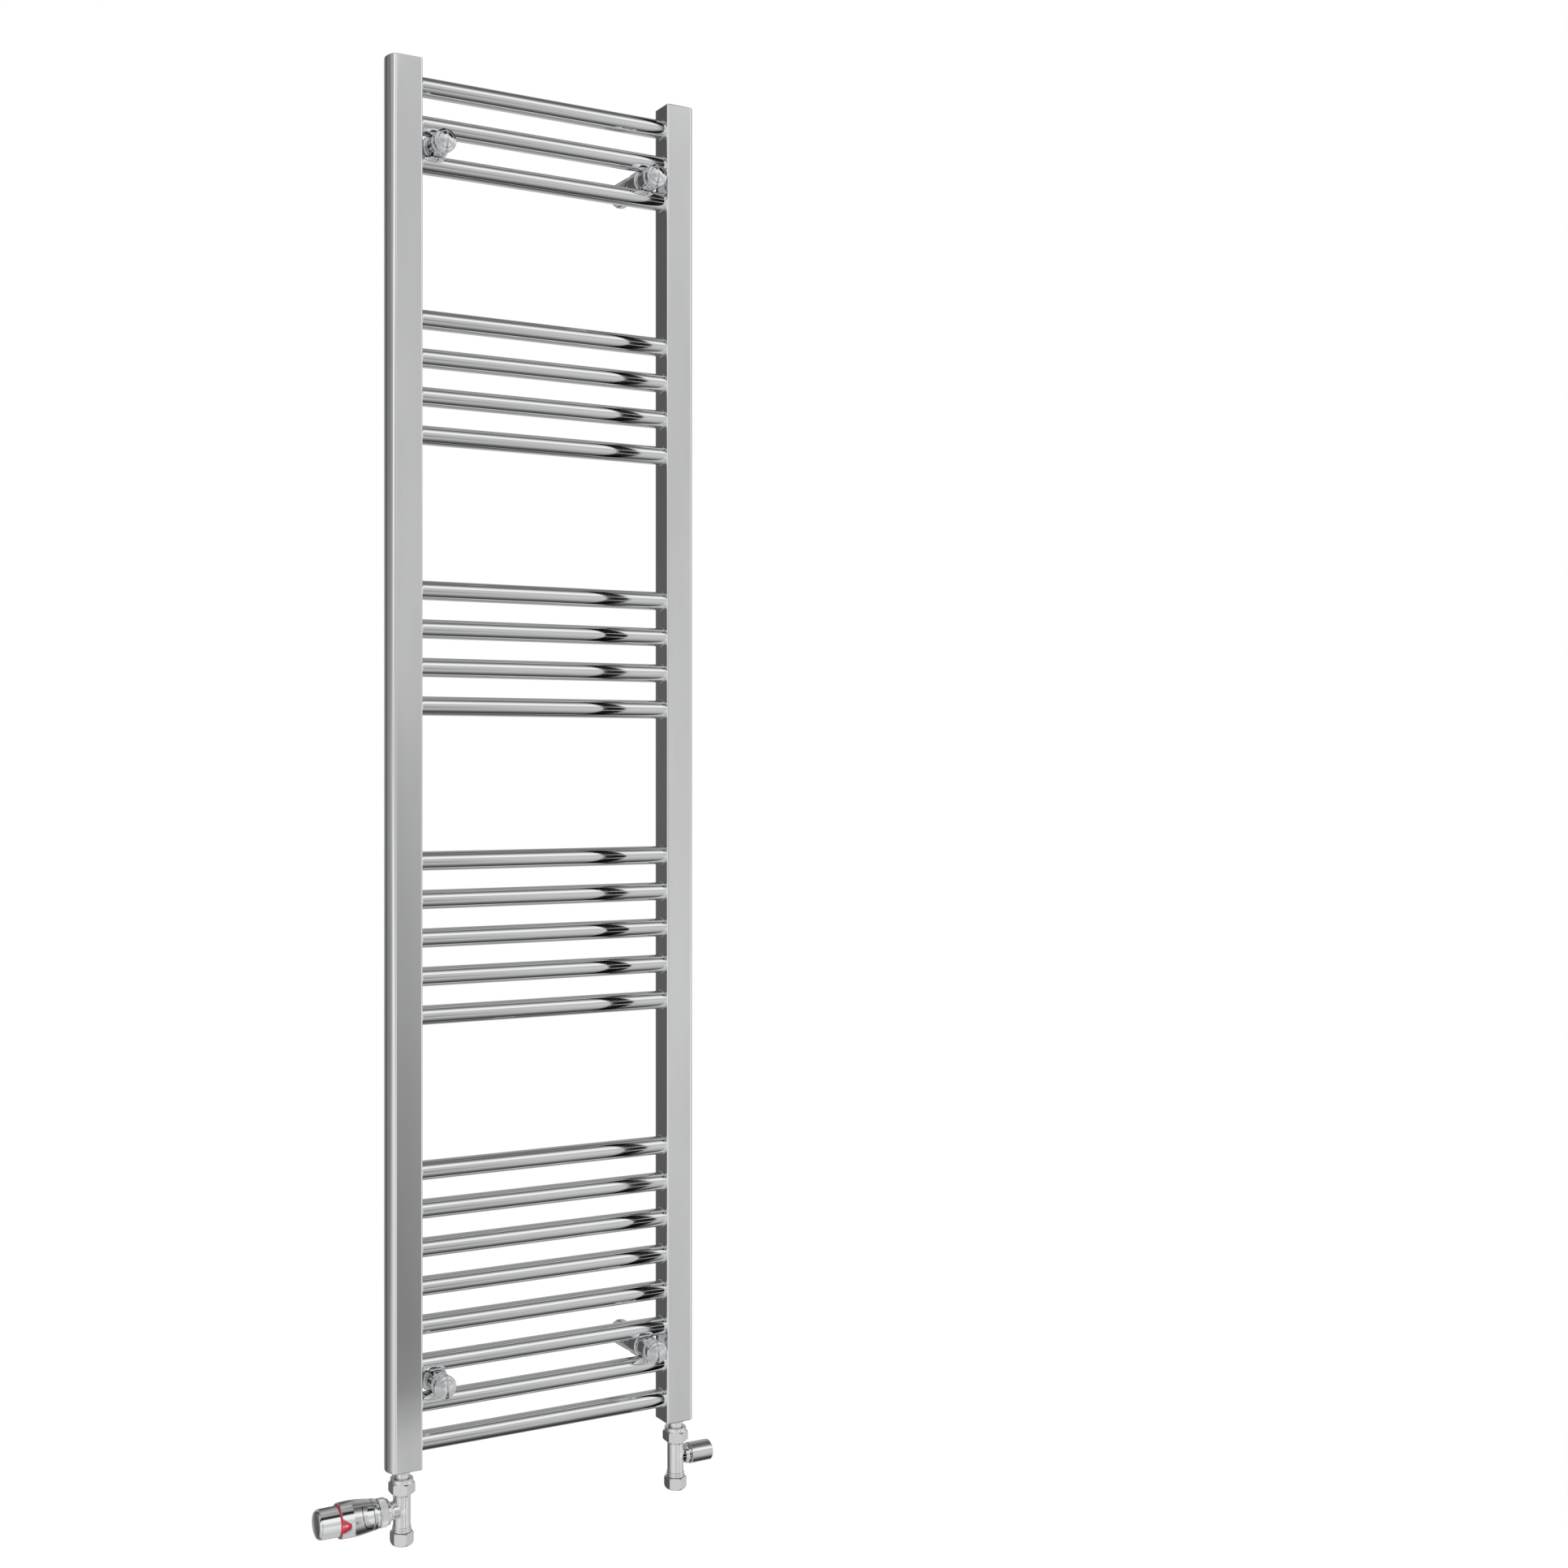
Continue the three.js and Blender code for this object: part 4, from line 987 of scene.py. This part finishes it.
def trv_body_distance(p):
    groove = np.hypot(p[:, 0] - TRV_GROOVE, np.hypot(p[:, 1], p[:, 2]) - TRV_GROOVE_RADIUS) - TRV_GROOVE_SIZE
    flange = smooth_max(bar_distance(p, "x", *TRV_FLANGE), -groove, HAIRLINE)
    neck = smooth_min(bar_distance(p, "x", *TRV_NECK), cone_distance(p, "x", *TRV_BELL), TRV_BELL_FILLET)
    front = smooth_min(flange, bar_distance(p, "x", *TRV_SPIGOT), HAIRLINE)
    d = smooth_min(barrel_distance(p), smooth_min(neck, front, FILLET), CAST_FILLET)
    return head_bores(p, waterways(p, d), TRV_PIN_BORE, TRV_HEAD_END)


def lockshield_body_distance(p):
    neck = smooth_min(bar_distance(p, "x", *LOCK_NECK), cone_distance(p, "x", *LOCK_BELL), LOCK_BELL_FILLET)
    head = smooth_min(neck, bar_distance(p, "x", *LOCK_COLLAR), CREASE)
    d = smooth_min(barrel_distance(p), head, CAST_FILLET)
    return head_bores(p, waterways(p, d), LOCK_BONNET_BORE, LOCK_HEAD_END)


# ======== nuts and tails

# Each nut: its flats, the turned outline that trims its hexagon, its collar, and its
# bores, each with its rounding.
PIPE_NUT = (
    24, ((-40, 9.2), (-39.3, 11.3), (-37.6, 13.1), (-35, 14.0), (-26, 14.0), (-24.5, 12.3)),
    None, (((7.6, -41, -24), 0.5), ((10.5, -35.5, -23, 0.2), 0.4)),
)
UNION_NUT = (
    27, ((19.5, 14.0), (20.8, 15.8), (29.6, 15.8), (32.8, 12.6)),
    (13.2, 26, 36, 1.2), (((12.1, 18, 33, 0.2), 0.5), ((8.8, 30, 37), 0.5)),
)
COLLAR_FILLET = 0.6
TRIM_EDGE = 0.35

THREAD_PITCH, THREAD_DEPTH, THREAD_RADIUS = 1.814, 1.1, 10.4
THREAD_START, THREAD_END, THREAD_RUN_OUT = 42.3, 55.2, 0.9
THREAD_STEPS, THREAD_SIDES = 90, 120
CREST_SHARE, FLANK_SHARE = 0.12, 0.76
TAIL_BORE, TAIL_START, TAIL_END = 7.8, 27.3, 56
# The tail's cone flange in the union, a neck, a ring, a neck, and the thread's start.
TAIL_OUTLINE = (
    (TAIL_START, TAIL_BORE, 0.3), (TAIL_START, 11.5, 0.5), (32.7, 11.5, 0.5), (32.7, 8.4, 0.4),
    (36.6, 8.4, 0.2), (36.6, 9.3, 0.3), (38.0, 9.3, 0.3), (38.0, 8.4, 0.2), (41.4, 8.4, 0.4),
    (42.2, 10.3, 0.3),
)
TAIL_TIP = (
    (THREAD_END, THREAD_RADIUS), (THREAD_END + 0.1, THREAD_RADIUS, 0.1), (TAIL_END, 9.4, 0.2),
    (TAIL_END, TAIL_BORE, 0.3), (TAIL_START, TAIL_BORE, 0.3), (TAIL_START, 8.5),
)
TAIL_LINER = (27.6, 55.9, 7.5, 7.82)
OLIVE_BORE, OLIVE_RADIUS = 7.6, 9.0
OLIVE_OUTLINE = (
    (-35.2, 8.0, 0.3), (-34.2, OLIVE_RADIUS, 0.8), (-31.4, OLIVE_RADIUS, 0.8), (-30.4, 8.0, 0.3),
    (-30.4, OLIVE_BORE, 0.1), (-35.2, OLIVE_BORE, 0.1),
)


def turned_limit(p, axis, corners):
    """Distance to the space inside a turned outline, given as (along, radius) pairs."""
    a, b, c = AXES[axis]
    along, radius = p[:, a], np.hypot(p[:, b], p[:, c])
    d = np.maximum(corners[0][0] - along, along - corners[-1][0])
    for (x0, r0), (x1, r1) in zip(corners, corners[1:]):
        slope = (r1 - r0) / (x1 - x0)
        d = smooth_max(d, (radius - r0 - slope * (along - x0)) / math.hypot(1, slope), TRIM_EDGE)
    return d


def nut_distance(p, nut):
    flats, trim, collar, bores = nut
    d = smooth_max(hexagon_distance(p, "z", flats), turned_limit(p, "z", trim), CREASE)
    if collar:
        d = smooth_min(d, bar_distance(p, "z", *collar), COLLAR_FILLET)
    for bore, edge in bores:
        d = smooth_max(d, -bar_distance(p, "z", *bore), edge)
    return d


def thread_relief(along, angle):
    """A helical groove that runs out at both ends of the thread."""
    turns = (along - THREAD_START) / THREAD_PITCH - angle / TURN
    share = abs(2 * (turns - math.floor(turns)) - 1)
    groove = min(max((share - CREST_SHARE) / FLANK_SHARE, 0), 1)
    depth = min((along - THREAD_START) / THREAD_RUN_OUT, (THREAD_END - along) / THREAD_RUN_OUT, 1)
    return -THREAD_DEPTH * groove * max(depth, 0)


def spliced(start, outer, end):
    """A closed profile: a rounded start, an evenly stepped outside, and a rounded end."""
    profile = start + outer + end
    return profile + [profile[0]]


def evenly(start, end, radius, steps):
    return [(start + (end - start) * k / steps, radius, 0, 1) for k in range(steps + 1)]


def tail_mesh():
    thread = evenly(THREAD_START, THREAD_END, THREAD_RADIUS, THREAD_STEPS)
    profile = spliced(rounded(TAIL_OUTLINE)[2:-1], thread, rounded(TAIL_TIP)[1:-1])
    return turned(profile, THREAD_SIDES, "z", thread_relief)


# ======== thermostatic head

# Places along X are counted from the middle of the valve's barrel.
RIDGES, RIDGE_DEPTH, RIDGE_ROUNDNESS = 70, 0.75, 0.6
RIDGES_START, RIDGES_END, RIDGES_FADE = 21.4, 29.9, 0.5
RING_NUT_RADIUS, RING_NUT_BORE = 16.0, 12.85
RIDGED, RING_NUT_STEPS, RING_NUT_SIDES = (21.2, 30.1), 14, 560
RING_NUT_START = ((20.7, 12.8), (20.7, 15.2, 0.3), (21.1, RING_NUT_RADIUS, 0.3), (22, RING_NUT_RADIUS))
RING_NUT_END = (
    (29, RING_NUT_RADIUS), (30.2, RING_NUT_RADIUS, 0.3), (30.6, 15.2, 0.3), (30.6, RING_NUT_BORE, 0.3),
    (20.7, RING_NUT_BORE, 0.3), (20.7, 13.5),
)
BAND_OUTLINE = (
    (31.0, 11.2, 0.3), (31.0, 15.4, 0.5), (32.4, 16.6, 1.2), (34.5, 17.05, 2), (38.6, 17.3, 0.4),
    (38.6, 11.2, 0.3),
)
HEAD_SIDES = 160

SLEEVE_START, SLEEVE_END = 39, 77
SLEEVE_BACK_RADIUS, SLEEVE_FRONT_RADIUS, SLEEVE_SWELL = 17.5, 19.3, 1.1
SLEEVE_BACK_EDGE, SLEEVE_GAP = 0.5, 0.15
SLEEVE_CORE, SLEEVE_PIN_HOLE = (15.7, 42, 79, 0.6), (3, 38, 43)
DIAL_RECESS = (17.2, 61.7, 79, 0.2)
WINDOW_TIP, WINDOW_TOP = 67.2, SLEEVE_END
WINDOW_HALF_TIP, WINDOW_HALF_TOP = 2.6, 7.8
WINDOW_LEAST_RADIUS, WINDOW_TIP_ROUND, WINDOW_EDGE = 8, 1.6, 0.7
RIM_WIDTH, RIM_HEIGHT = 1.5, 0.5
RIB_TURN = math.radians(80)
RIB_HALF, RIB_SUNK = 0.62, 0.1
BAND_RIB, BAND_RIB_RADIUS, BAND_RIB_STEPS = (33.6, 37.9), 17.15, 6
SLEEVE_RIB, SLEEVE_RIB_STEPS = (40.2, 57), 12
TICK, TICK_STEPS, TICK_HALF, TICK_HEIGHT, TICK_SUNK = (62.8, 65.2), 6, 0.45, 0.4, 0.05

# The knob: its inside, its open end round the dial, its side and its domed face.
KNOB_OUTLINE = (
    (96, 0), (97, 10.5, 2), (93, 14.6, 3), (78.35, 14.9, 0.4), (78.35, 16.68, 0.5), (86, 16.62, 4),
    (102.4, 16.3, 7.4), (103.65, 9, 22), (104, 3, 30), (104, 0),
)
CAPSULE_BACK, CAPSULE_FRONT, CAPSULE_RADIUS = 45.5, 74, 9.5
FOLDS, FOLD_START, FOLD_PITCH, FOLD_WIDTH, FOLD_RADIUS = 5, 49, 2.4, 1.2, 8.5
PIN_DISC, PIN_RADIUS = 5.4, 2
PIN_OUTLINE = (
    (4.0, 0), (4.0, PIN_DISC, 0.4), (6.6, PIN_DISC, 0.4), (6.6, PIN_RADIUS, 0.4), (45.2, PIN_RADIUS, 0.6),
    (45.2, 0),
)

DIAL_RADIUS, DIAL_BORE, DIAL_START, DIAL_END = 16.9, 14.7, 62, 78.1
# Each figure stands as many degrees round the dial as the knob turns to show it.
DIAL_MARKS = (("5", 0), ("4", 60), ("3", 120), ("2", 180), ("1", 235), ("*", 268), ("0", 300))
FIGURE_SIZE, FIGURE_PLACE, FIGURE_LIFT = 5.6, 72.6, 0.02
FIGURE_THICK, FIGURE_BOLD, FIGURE_NARROW = 0.06, 0.05, 0.86
FIGURE_SMOOTH = 4                       # steps in each curve of a figure
PRINT_WELD = 0.001                      # corners of a figure closer than this are one corner
DASH_PLACE, DASH_HALF, DASH_HEIGHT = 76.4, 0.28, 0.12
DASH_DEGREES = (-2.4, -0.8, 0.8, 2.4)

# The outline of the flow arrow, as (height, distance round the barrel).
ARROW_OUTLINE = ((9.6, 0), (13.0, 2.6), (13.0, 1.1), (16.2, 1.1), (16.2, -1.1), (13.0, -1.1), (13.0, -2.6))
ARROW_STEPS, ARROW_HALF, ARROW_HEIGHT = 5, 0.24, 0.28


def sleeve_radius(x):
    share = (x - SLEEVE_START) / (SLEEVE_END - SLEEVE_START)
    cone = SLEEVE_BACK_RADIUS + (SLEEVE_FRONT_RADIUS - SLEEVE_BACK_RADIUS) * share
    return cone + SLEEVE_SWELL * np.sin(np.clip(share, 0, 1) * math.pi)


def window_distance(p):
    """Distance to the V window in the sleeve, measured along its surface."""
    radius = np.hypot(p[:, 1], p[:, 2])
    across = np.abs(np.arctan2(p[:, 2], p[:, 1])) * np.maximum(radius, WINDOW_LEAST_RADIUS)
    slope = (WINDOW_HALF_TOP - WINDOW_HALF_TIP) / (WINDOW_TOP - WINDOW_TIP)
    side = (across - WINDOW_HALF_TIP - slope * (p[:, 0] - WINDOW_TIP)) / math.hypot(1, slope)
    return smooth_max(side, WINDOW_TIP - p[:, 0], WINDOW_TIP_ROUND)


def sleeve_distance(p):
    radius = np.hypot(p[:, 1], p[:, 2])
    window = window_distance(p)
    rim = np.clip(1 - window / RIM_WIDTH, 0, 1)
    outside = radius - sleeve_radius(p[:, 0]) - RIM_HEIGHT * rim * rim * (3 - 2 * rim)
    recess = smooth_max(bar_distance(p, "x", *DIAL_RECESS), DIAL_RECESS[1] - p[:, 0], HAIRLINE)
    core = bar_distance(p, "x", *SLEEVE_CORE)
    hole = bar_distance(p, "x", *SLEEVE_PIN_HOLE)
    d = smooth_max(outside, SLEEVE_START + SLEEVE_GAP - p[:, 0], SLEEVE_BACK_EDGE)
    d = smooth_max(d, p[:, 0] - SLEEVE_END, 1.0)
    for gap in (recess, core, hole):
        d = smooth_max(d, -gap, CREASE)
    return smooth_max(d, -window, WINDOW_EDGE)


def knurl_relief(along, angle):
    """Straight ridges round the ring nut, fading at its bevelled ends."""
    share = 0.5 - 0.5 * math.cos(angle * RIDGES)
    depth = min((along - RIDGES_START) / RIDGES_FADE, (RIDGES_END - along) / RIDGES_FADE, 1)
    return -RIDGE_DEPTH * (1 - share ** RIDGE_ROUNDNESS) * max(depth, 0)


def numeral(text, turn, radius, x, size):
    """A printed figure wrapped round the dial: reading round the axis, its top towards +X."""
    curve = bpy.data.curves.new("print", "FONT")
    curve.body = text
    curve.size = size
    curve.align_x = "CENTER"
    curve.align_y = "CENTER"
    curve.extrude = FIGURE_THICK
    curve.offset = FIGURE_BOLD
    curve.resolution_u = FIGURE_SMOOTH
    maker = bpy.data.objects.new("print", curve)
    bpy.context.scene.collection.objects.link(maker)
    bpy.context.view_layer.update()
    mesh = bpy.data.meshes.new_from_object(maker.evaluated_get(bpy.context.evaluated_depsgraph_get()))
    joined = bmesh.new()
    joined.from_mesh(mesh)
    bmesh.ops.remove_doubles(joined, verts=joined.verts, dist=PRINT_WELD)
    joined.to_mesh(mesh)
    joined.free()
    points = []
    for vertex in mesh.vertices:
        angle = turn + vertex.co.x * FIGURE_NARROW / radius
        reach = radius + vertex.co.z
        points.append((x + vertex.co.y, reach * math.cos(angle), reach * math.sin(angle)))
    faces = [tuple(polygon.vertices) for polygon in mesh.polygons]
    bpy.data.objects.remove(maker)
    bpy.data.curves.remove(curve)
    bpy.data.meshes.remove(mesh)
    return points, faces, None


def build_dial(place):
    ring = tube(DIAL_START, DIAL_END, DIAL_BORE, DIAL_RADIUS, sides=HEAD_SIDES)
    put("setting_dial", [ring], red_plastic, place, "trv_knob", "red_dial", "trv_dial")
    marks = []
    for text, degrees in DIAL_MARKS:
        turn = math.radians(degrees)
        marks.append(numeral(text, turn, DIAL_RADIUS + FIGURE_LIFT, FIGURE_PLACE, FIGURE_SIZE))
        path, ups = round_the_axis([turn + math.radians(k) for k in DASH_DEGREES], DIAL_RADIUS, DASH_PLACE)
        marks.append(bead(path, ups, DASH_HALF, DASH_HEIGHT))
    put("dial_print", marks, white_print, place, "trv_knob", "red_dial")


def flow_arrow():
    """An outline arrow raised on the side of the barrel, pointing down the pipe."""
    path, ups = [], []
    for (z0, s0), (z1, s1) in zip(ARROW_OUTLINE, ARROW_OUTLINE[1:] + ARROW_OUTLINE[:1]):
        for k in range(ARROW_STEPS):
            share = (k + 0.5) / ARROW_STEPS
            angle = math.pi / 2 + (s0 + (s1 - s0) * share) / BARREL_RADIUS
            up = np.array([math.cos(angle), math.sin(angle), 0])
            path.append(up * BARREL_RADIUS + np.array([0, 0, z0 + (z1 - z0) * share]))
            ups.append(up)
    return bead(path, ups, ARROW_HALF, ARROW_HEIGHT, closed=True)


def head_rib(ends, radius_at, steps):
    """A slim raised rib along the head at the rib's angle."""
    up = np.array([0, math.cos(RIB_TURN), math.sin(RIB_TURN)])
    path = [np.array([x, 0, 0]) + up * (radius_at(x) - RIB_SUNK) for x in np.linspace(*ends, steps)]
    return bead(path, [up] * steps, RIB_HALF, RIB_HALF)


def setting_tick():
    """The raised tick on the sleeve that the dial's figures are set against."""
    path = [np.array([x, sleeve_radius(x) - TICK_SUNK, 0]) for x in np.linspace(*TICK, TICK_STEPS)]
    return bead(path, [np.array([0, 1, 0])] * TICK_STEPS, TICK_HALF, TICK_HEIGHT)


def capsule_mesh():
    """The sensor capsule: a can with a folded bellows in its back half."""
    outline = [(CAPSULE_BACK, 0), (CAPSULE_BACK, 5, 0.5), (47, 9.2, 1)]
    for k in range(FOLDS):
        fold = FOLD_START + FOLD_PITCH * k
        outline += [(fold, CAPSULE_RADIUS, 0.7), (fold + FOLD_WIDTH, FOLD_RADIUS, 0.5)]
    outline += [(62, CAPSULE_RADIUS, 0.6), (CAPSULE_FRONT, CAPSULE_RADIUS, 1.5), (CAPSULE_FRONT, 0)]
    return turned(rounded(outline))


# ======== lockshield head

BONNET_FLATS = 17
BONNET_TRIM = ((18.1, 8.6), (18.9, 9.9), (23.7, 9.9), (24.5, 8.8))
BONNET_THREAD, BONNET_GLAND, BONNET_BORE = (6.7, 12.2, 19), (5.6, 24, 31, 0.8), (3.5, 11, 32)
SPINDLE_SHAFT, SPINDLE_TIP = (3.2, 10, 32), (2, 6.4, 11)
SPINDLE_SQUARE, SPINDLE_SQUARE_START, SPINDLE_SQUARE_END = 4.6, 31.6, 38
PLUG_RADIUS, PLUG_BORE = 5.4, 2.3
PLUG_OUTLINE = (
    (3, 0), (3, PLUG_RADIUS, 0.5), (8, PLUG_RADIUS, 0.4), (8, PLUG_BORE, 0.3), (4.6, PLUG_BORE, 0.2),
    (4.6, 0),
)
CAP_START, CAP_RADIUS, CAP_BORE = 18.1, 12.3, 10.8
CAP_OUTLINE = (
    (45.5, 0), (45.5, CAP_BORE, 0.8), (CAP_START, CAP_BORE, 0.3), (CAP_START, CAP_RADIUS, 0.35),
    (47.38, 12.18, 1.7), (47.5, 6, 30), (47.5, 0),
)


def bonnet_distance(p):
    hexagon = smooth_max(hexagon_distance(p, "x", BONNET_FLATS), turned_limit(p, "x", BONNET_TRIM), CREASE)
    d = smooth_min(bar_distance(p, "x", *BONNET_THREAD), hexagon, HAIRLINE)
    d = smooth_min(d, bar_distance(p, "x", *BONNET_GLAND), CREASE)
    return smooth_max(d, -bar_distance(p, "x", *BONNET_BORE), CREASE)


def spindle_distance(p):
    corners = np.maximum(np.abs(p[:, 1] + p[:, 2]), np.abs(p[:, 1] - p[:, 2])) / math.sqrt(2)
    square = smooth_max(corners - SPINDLE_SQUARE / 2, SPINDLE_SQUARE_START - p[:, 0], CREASE)
    square = smooth_max(square, p[:, 0] - SPINDLE_SQUARE_END, 0.6)
    d = smooth_min(bar_distance(p, "x", *SPINDLE_SHAFT), square, HAIRLINE)
    return smooth_min(d, bar_distance(p, "x", *SPINDLE_TIP), HAIRLINE)


# ======== valves

def build_valve(prefix, body_distance, low, high):
    """The pieces that both valves have. Gives back the valve's place."""
    place = valve_place(prefix)
    for part, mesh, node in (
        ("_casting", surface_net(body_distance, low, high, 0.42), "_body"),
        ("_pipe_nut", net_along("z", lambda p: nut_distance(p, PIPE_NUT), 14, -40, -24, 0.36),
         "_compression_nut"),
        ("_tail_nut", net_along("z", lambda p: nut_distance(p, UNION_NUT), 16, 19.5, 36, 0.4), "_union_nut"),
        ("_threaded_tail", tail_mesh(), "_tail"),
    ):
        put(prefix + part, [mesh], cast_chrome, place, "radiator", "chrome_brass", prefix + node)
    # A thin dark lining inside the tail: painted shade for the inside of its bore.
    bore = tube(*TAIL_LINER, 0.1, 64, "z")
    put(prefix + "_tail_bore", [bore], dark_bore, place, "radiator", "chrome_brass")
    olive = turned(rounded(OLIVE_OUTLINE, closed=True), 72, "z")
    put(prefix + "_olive", [olive], bare_brass, place, "radiator", "bare_brass")
    return place


def build_thermostatic_valve():
    place = build_valve("trv", trv_body_distance, (-12, -14.5, -30), (27.6, 14.5, 27))
    ridged = evenly(*RIDGED, RING_NUT_RADIUS, RING_NUT_STEPS)
    profile = spliced(rounded(RING_NUT_START)[1:-1], ridged, rounded(RING_NUT_END)[1:-1])
    ring_nut = turned(profile, RING_NUT_SIDES, relief=knurl_relief)
    band = turned(rounded(BAND_OUTLINE, closed=True), HEAD_SIDES)
    band_rib = head_rib(BAND_RIB, lambda x: BAND_RIB_RADIUS, BAND_RIB_STEPS)
    sleeve = net_along("x", sleeve_distance, 20.8, SLEEVE_START, 77.2, 0.38)
    sleeve_rib = head_rib(SLEEVE_RIB, sleeve_radius, SLEEVE_RIB_STEPS)
    knob = turned(rounded(KNOB_OUTLINE, arc=10), HEAD_SIDES)
    pin = turned(rounded(PIN_OUTLINE), 48)
    put("trv_flow_arrow", [flow_arrow()], cast_chrome, place, "radiator", "chrome_brass")
    put("trv_knurled_nut", [ring_nut], head_chrome, place, "radiator", "chrome_brass", "trv_ring_nut")
    put("trv_head_band", [band, band_rib], head_chrome, place, "radiator", "chromed_plastic", "trv_base_band")
    sleeve_parts = [sleeve, sleeve_rib, setting_tick()]
    put("trv_head_sleeve", sleeve_parts, head_chrome, place, "radiator", "chromed_plastic", "trv_sleeve")
    build_dial(place)
    put("trv_head_knob", [knob], head_chrome, place, "trv_knob", "chromed_plastic", "trv_knob")
    put("trv_capsule", [capsule_mesh()], copper, place, "trv_actuator", "copper_capsule", "trv_sensor")
    put("trv_lift_pin", [pin], bare_brass, place, "trv_actuator", "bare_brass", "trv_pin")


def build_lockshield_valve():
    place = build_valve("lockshield", lockshield_body_distance, (-12, -12, -30), (18, 12, 27))
    bonnet = net_along("x", bonnet_distance, 10, 12, 31, 0.34)
    spindle = net_along("x", spindle_distance, 3.5, 6, 38, 0.25)
    plug = turned(rounded(PLUG_OUTLINE), 64)
    cap = turned(rounded(CAP_OUTLINE, arc=8), HEAD_SIDES)
    for name, mesh, material, body, slot, node in (
        ("gland", bonnet, bare_brass, "radiator", "bare_brass", "bonnet"),
        ("stem", spindle, bare_brass, "lockshield_spindle", "bare_brass", "spindle"),
        ("disc", plug, bare_brass, "lockshield_plug", "bare_brass", "plug"),
        ("cover", cap, head_chrome, "lockshield_cap", "chromed_plastic", "cap"),
    ):
        put("lockshield_" + name, [mesh], material, place, body, slot, "lockshield_" + node)


# ======== assembly

build_uprights()
build_rails()
build_brackets()
build_ports()
build_thermostatic_valve()
build_lockshield_valve()
